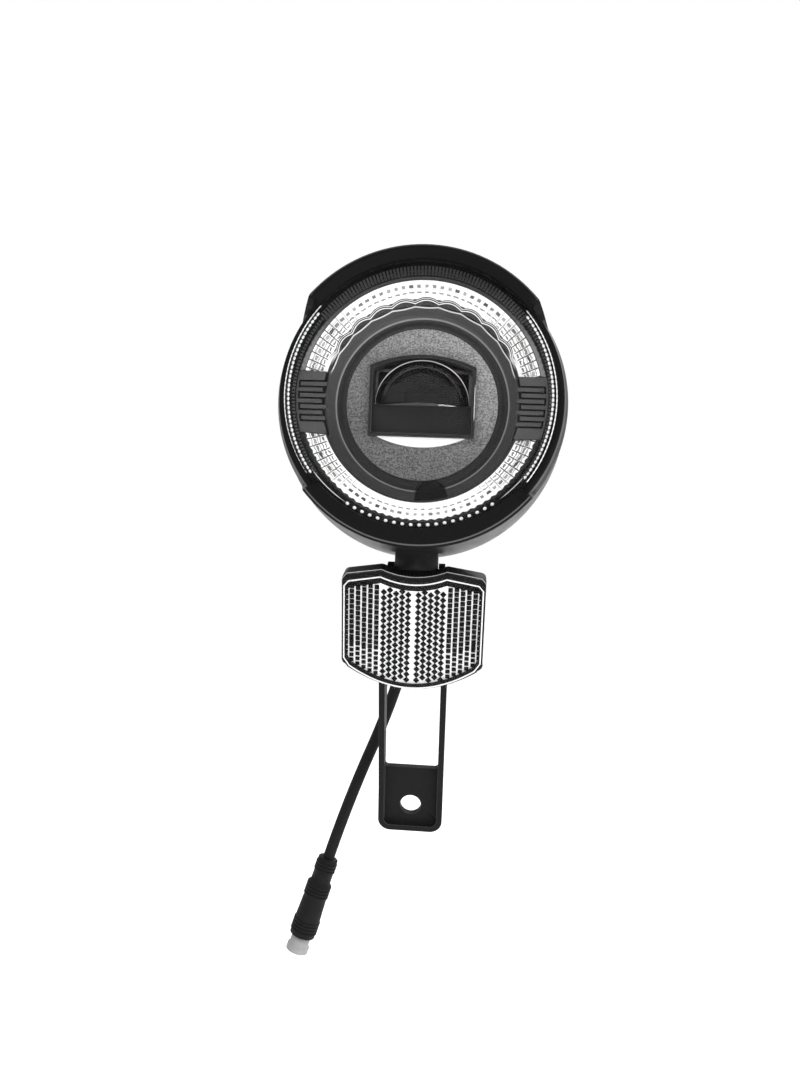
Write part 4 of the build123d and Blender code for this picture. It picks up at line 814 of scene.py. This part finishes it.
# short bright lines on the lens edge: painted highlights
for name, first, last, thick in [("right", 127.0, 141.5, 0.24), ("left", 212.0, 233.0, 0.28)]:
    round_line("rim_highlight_line_" + name, arc_path(LOW_CIRCLE, LINE_DEPTH, first, last), thick, glint, "lamp_head",
               fade=0.2)
round_line("collar_line", arc_path(COLLAR_CIRCLE, COLLAR_DEPTH, -48.0, 48.0, 96), 0.22, coat["rib_grey"],
           "lamp_head", fade=0.1)

# painted highlight lines on the edge of the projector's frame and round its lens, mm
FRAME_SIDE = 14.55
FRAME_DEPTH = 8.15
LENS_CURVE = 17.4        # radius of the lens's front face
LENS_APEX = 4.2          # depth of its foremost point
LENS_HALF = 13.1
LENS_HEIGHT = 12.1


def lens_rim():
    """Points just in front of the projector lens, along its half-round edge."""
    path = []
    for step in range(49):
        angle = math.pi * step / 48
        x = LENS_HALF * math.cos(angle)
        z = LENS_HEIGHT * math.sin(angle) + 0.1
        depth = LENS_APEX + LENS_CURVE - math.sqrt(LENS_CURVE ** 2 - x * x - z * z)
        path.append(lamp_point(x, depth - 0.05, z) / MM)
    return path


# painted highlights along the frame's side edge and round the lens
frame_side = [lamp_point(FRAME_SIDE, FRAME_DEPTH, z / 2) / MM for z in range(-9, 13)]
round_line("frame_edge_highlight", frame_side, 0.2, glint, "lamp_head", fade=0.15)
round_line("projector_rim_highlight", lens_rim(), 0.26, glint, "lamp_head", fade=0.25)


# clear prismatic field of the reflector

def diamond_shape(tree, given):
    """Low four-sided prisms in columns and rows on the reflector's leaning face."""
    index = put(tree, "GeometryNodeInputIndex").outputs[0]
    column = calc(tree, "FLOOR", calc(tree, "DIVIDE", calc(tree, "ADD", index, 0.5), given["Rows"]))
    row = calc(tree, "SUBTRACT", index, times(tree, column, given["Rows"]))
    x = line(tree, column, given["Pitch X"], given["Left"])
    shift = times(tree, calc(tree, "MODULO", column, 2.0), given["Stagger"])
    z = calc(tree, "ADD", line(tree, row, given["Pitch Z"], given["Low"]), shift)
    share = times(tree, x, calc(tree, "DIVIDE", x, given["Bow Width"]))
    z = calc(tree, "ADD", z, times(tree, share, given["Bow"]))
    y = given["Face"]
    back = calc(tree, "SUBTRACT", times(tree, y, math.cos(LEAN)),
                times(tree, z, math.sin(LEAN)))
    up = calc(tree, "ADD", times(tree, y, math.sin(LEAN)), times(tree, z, math.cos(LEAN)))
    parts = [times(tree, value, MM) for value in (x, back, up)]
    place = put(tree, "ShaderNodeCombineXYZ", dict(enumerate(parts))).outputs[0]
    count = times(tree, given["Rows"], given["Columns"])
    points = put(tree, "GeometryNodePoints", {"Count": count, "Position": place}).outputs[0]
    turn = put(tree, "ShaderNodeCombineXYZ", {0: math.pi / 2 + LEAN, 1: 0.0, 2: 0.0}).outputs[0]
    cone = put(tree, "GeometryNodeMeshCone", {"Vertices": 4, "Radius Top": 0.35, "Radius Bottom": 1.0,
                                              "Depth": 0.5})
    spun = put(tree, "GeometryNodeTransform", {"Geometry": cone.outputs[0]})
    spin = put(tree, "ShaderNodeCombineXYZ", {2: calc(tree, "RADIANS", given["Spin"])}).outputs[0]
    tree.links.new(spin, spun.inputs["Rotation"])
    size = put(tree, "ShaderNodeCombineXYZ", {0: times(tree, given["Width"], MM / 2),
                                              1: times(tree, given["Height"], MM / 2),
                                              2: MM}).outputs[0]
    return points, turn, size, spun.outputs[0]


PRISM_SIZES = {"Rows": 13, "Columns": 5, "Left": 0.0, "Low": 58.2, "Pitch X": 1.72, "Pitch Z": 1.48,
               "Stagger": 0.0, "Bow": 0.16, "Bow Width": 20.0, "Face": -16.95, "Width": 1.8, "Height": 1.86,
               "Spin": 45.0}
CENTRE_FIELD = {"Rows": 16, "Low": 49.7, "Pitch X": 1.69, "Pitch Z": 1.68, "Stagger": 0.83, "Width": 1.85,
                "Height": 1.9, "Spin": 0.0}
LOW_FIELD = {"Rows": 5, "Low": 49.3, "Bow": 0.4, "Width": 1.72, "Height": 1.6}
EDGE_FIELD = {"Rows": 16, "Columns": 1, "Low": 53.0, "Width": 1.9}
PRISMS = repeat_tree("prisms_in_rows", PRISM_SIZES, diamond_shape)
for name, left, field in [("centre_left", -8.15, CENTRE_FIELD), ("centre_right", 1.39, CENTRE_FIELD),
                          ("side_left", -16.98, {}), ("side_low_left", -16.98, LOW_FIELD),
                          ("side_right", 10.1, {}), ("side_low_right", 10.1, LOW_FIELD),
                          ("edge_left", -18.62, EDGE_FIELD), ("edge_right", 18.62, EDGE_FIELD)]:
    sizes = {**PRISM_SIZES, "Left": left, **field}
    settle(grow("prisms_" + name, PRISMS, sizes, coat["prism_dark"], False), "bracket")

# outline of the reflector on the bracket's leaning face, mm
REFLECTOR_HALF = 19.8
REFLECTOR_TOP = 81.8
REFLECTOR_LOW = 47.2
REFLECTOR_SHOULDER = 9.0
REFLECTOR_DIP = 1.9
REFLECTOR_DROP = 1.7
REFLECTOR_SAG = 7.0
REFLECTOR_CORNER = 1.2
UPPER_PART = 77.0        # height above which its points belong to the top edge


def reflector_edge(inset):
    """Points (x, z) round the reflector's outline, drawn in by an inset."""
    half = REFLECTOR_HALF - inset
    top = REFLECTOR_TOP - inset
    low = REFLECTOR_LOW + inset
    cut = REFLECTOR_CORNER
    points = [(half, low + REFLECTOR_SAG + cut), (half, top - REFLECTOR_DROP - cut),
              (half - cut, top - REFLECTOR_DROP + 0.2)]
    for step in range(17):
        x = REFLECTOR_SHOULDER * (1 - step / 8)
        points.append((x, top - REFLECTOR_DIP * (1 - (x / REFLECTOR_SHOULDER) ** 2)))
    points += [(cut - half, top - REFLECTOR_DROP + 0.2), (-half, top - REFLECTOR_DROP - cut),
               (-half, low + REFLECTOR_SAG + cut)]
    for step in range(1, 24):
        x = half * (step / 12 - 1)
        points.append((x, low + REFLECTOR_SAG * (x / half) ** 2))
    return points


def flat_piece(name, outer, inner, front, back, finish):
    """A thin sheet with an outline, or a ring between two outlines, on the bracket's leaning face."""
    count = len(outer)
    points = [bracket_point(x, y, z) for y in (front, back) for x, z in outer]
    sides = [(step, (step + 1) % count) for step in range(count)]
    faces = [(a, b, b + count, a + count) for a, b in sides]
    if inner:
        points += [bracket_point(x, y, z) for y in (front, back) for x, z in inner]
        faces += [(a + 2 * count, b + 2 * count, b + 3 * count, a + 3 * count) for a, b in sides]
        faces += [(a, b, b + 2 * count, a + 2 * count) for a, b in sides]
        faces += [(a + count, b + count, b + 3 * count, a + 3 * count) for a, b in sides]
    else:
        faces += [tuple(range(count)), tuple(range(count, 2 * count))]
    made = add_mesh(name, points, faces, finish)
    turn_outwards(made)
    settle(made, "bracket")


def edge_line(name, outline, y, thick):
    """A closed painted highlight line along an outline on the bracket's leaning face."""
    path = [bracket_point(x, y, z) / MM for x, z in outline]
    round_line(name, path, thick, glint, "bracket", closed=True)


flat_piece("prism_sheet", reflector_edge(1.0), None, -16.62, -16.5, coat["prism_light"])
flat_piece("reflector_border", reflector_edge(0.12), reflector_edge(1.3), -17.6, -16.45,
           coat["carrier_black"])
upper = [point for point in reflector_edge(1.0) if point[1] > UPPER_PART]
flat_piece("reflector_top_band", upper + [(x, z - 2.9) for x, z in reversed(upper)], None, -16.8, -16.64,
           coat["prism_dark"])
lowered = [(x, z - 0.7 if z > UPPER_PART else z) for x, z in reflector_edge(0.85)]
# painted highlights on the cover's front edge and on its seam with the carrier
edge_line("reflector_edge_highlight", lowered, -18.6, 0.4)
edge_line("reflector_seam_highlight", reflector_edge(0.06), -16.42, 0.16)

SMOOTH_ANGLE = 32.0      # degrees above which an edge stays crisp
BRACKET_ANGLE = 14.0     # less for the bracket, so that its broad flat faces stay flat
SMOOTHED = [("rear_housing", "lamp_head", "housing_black"), ("front_bezel", "lamp_head", "bezel_black"),
            ("mask_bowl", "lamp_head", "mask_grey"), ("front_lens", "lamp_head", "clear_cover"),
            ("projector_lens", "lamp_head", "clear_optic"), ("mounting_bracket", "bracket", "bracket_black"),
            ("reflector_carrier", "bracket", "carrier_black"),
            ("reflector_lens", "bracket", "reflector_clear"),
            ("connector_overmould", "lamp_head", "cable_cover"),
            ("connector_sleeve", "lamp_head", "sleeve_grey"), ("cable_grommet", "lamp_head", "seal_rubber")]
for node, body, slot in SMOOTHED:
    smooth_copy(node, body, BRACKET_ANGLE if node == "mounting_bracket" else SMOOTH_ANGLE)


# the free cord, from the back of the lamp to its plug

# the route's control points, mm
ROUTE = [(-1.0, 2.2736, 79.2321), (-1.0, 10.7589, 70.7468), (-2.45, 15.0, 51.9), (-8.3, 15.0, 28.1),
         (-21.5, 14.3, -5.1), (-27.2, 13.4, -24.1)]
CABLE_DIAMETER = 3.8


def add_cable():
    """The cable as a round curve, shown in the place of its solid."""
    data = bpy.data.curves.new("cable_run", "CURVE")
    data.dimensions = "3D"
    spline = data.splines.new("NURBS")
    spline.points.add(len(ROUTE) - 1)
    for point, place in zip(spline.points, ROUTE):
        point.co = (*(Vector(place) * MM), 1.0)
    spline.order_u = 3
    spline.use_endpoint_u = True
    spline.resolution_u = 24
    data.bevel_depth = CABLE_DIAMETER * MM / 2
    data.bevel_resolution = 6
    data.use_fill_caps = True
    data.materials.append(coat["rubber_black"])
    made = bpy.data.objects.new("cable_run", data)
    bpy.context.scene.collection.objects.link(made)
    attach(made, "lamp_head")
    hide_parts("cable")
    return made


cable = add_cable()


# camera, floor and light

CAMERA_TURNS = (3.904, -0.016, -2.320)       # yaw, pitch and roll, degrees
CAMERA_PLACE = (11.62, -270.23, 84.77)       # mm
SENSOR_HEIGHT = 24.0     # mm
LENS_SHARE = 857.3 / 1067    # focal length as a share of the sensor's height


def add_camera():
    """The camera, placed and turned as the photo was taken."""
    yaw, pitch, roll = (math.radians(value) for value in CAMERA_TURNS)
    level_right = Vector((math.cos(yaw), math.sin(yaw), 0))
    level_ahead = Vector((-math.sin(yaw), math.cos(yaw), 0))
    ahead = math.cos(pitch) * level_ahead + math.sin(pitch) * Vector((0, 0, 1))
    level_up = -math.sin(pitch) * level_ahead + math.cos(pitch) * Vector((0, 0, 1))
    right = math.cos(roll) * level_right - math.sin(roll) * level_up
    up = math.sin(roll) * level_right + math.cos(roll) * level_up
    data = bpy.data.cameras.new("camera")
    data.sensor_fit = "VERTICAL"
    data.sensor_height = SENSOR_HEIGHT
    data.lens = SENSOR_HEIGHT * LENS_SHARE
    data.clip_start = 0.01
    made = bpy.data.objects.new("camera", data)
    place = Matrix((right, up, -ahead)).transposed().to_4x4()
    place.translation = Vector(CAMERA_PLACE) * MM
    made.matrix_world = place
    bpy.context.scene.collection.objects.link(made)
    bpy.context.scene.camera = made


FLOOR_HALF = 3.0         # half its side, m
FLOOR_LEVEL = -0.15
FLOOR_GLOW = 0.6         # strength of its own light towards the camera, gloss and clear pieces


def add_floor():
    """White ground under the part."""
    corners = [(x * FLOOR_HALF, y * FLOOR_HALF, FLOOR_LEVEL) for x, y in ((-1, -1), (1, -1), (1, 1), (-1, 1))]
    made = add_mesh("floor", corners, [(0, 1, 2, 3)], None)
    finish, tree, shader = finish_of("floor_white", grey(0.8), Roughness=0.8, Emission_Color=grey(1.0))
    rays = put(tree, "ShaderNodeLightPath").outputs
    seen = most(tree, rays["Is Camera Ray"], rays["Is Glossy Ray"], rays["Is Transmission Ray"])
    tree.links.new(times(tree, seen, FLOOR_GLOW), shader.inputs["Emission Strength"])
    made.data.materials[0] = finish


MIDDLE = (0.0, -0.02, 0.09)      # where the lights point, m
SURROUNDINGS = 0.55      # strength of the white surroundings as light
GLOSS_IN_FRONT = 0.25    # their strength in gloss that shows what is in front of the lamp


def add_area(name, place, size, power, glossy):
    """A soft light towards the part's middle, which gloss may or may not show."""
    data = bpy.data.lights.new(name, "AREA")
    data.shape = "RECTANGLE"
    data.size, data.size_y = size
    data.energy = power
    made = bpy.data.objects.new(name, data)
    made.location = place
    made.rotation_euler = (Vector(MIDDLE) - Vector(place)).to_track_quat("-Z", "Y").to_euler()
    made.visible_glossy = glossy
    bpy.context.scene.collection.objects.link(made)


def add_world():
    """White surroundings: white where they are seen, dimmer as light and in gloss towards the front."""
    world = bpy.data.worlds.new("studio")
    bpy.context.scene.world = world
    world.use_nodes = True
    tree = world.node_tree
    background = tree.nodes["Background"]
    rays = put(tree, "ShaderNodeLightPath").outputs
    way = put(tree, "ShaderNodeTexCoord").outputs["Generated"]
    ahead = put(tree, "ShaderNodeSeparateXYZ", {0: way}).outputs[1]
    gloss = put(tree, "ShaderNodeMapRange", {"Value": ahead, "From Min": -0.6, "From Max": 0.3,
                                             "To Min": GLOSS_IN_FRONT, "To Max": 1.0}).outputs[0]
    glossy = times(tree, rays["Is Glossy Ray"], gloss)
    strength = most(tree, rays["Is Camera Ray"], rays["Is Transmission Ray"], glossy, SURROUNDINGS)
    background.inputs["Color"].default_value = grey(1.0)
    tree.links.new(strength, background.inputs["Strength"])


add_camera()
add_floor()
add_world()
add_area("key", (-0.45, -0.55, 0.75), (0.5, 0.5), 6.0, False)
add_area("fill", (0.6, -0.45, 0.3), (0.5, 0.7), 2.5, False)
add_area("rim", (0.2, 0.6, 0.6), (0.6, 0.4), 2.8, True)
add_area("under", (0.1, -0.1, -0.14), (0.4, 0.4), 1.6, False)

bpy.context.scene.view_settings.view_transform = "Standard"
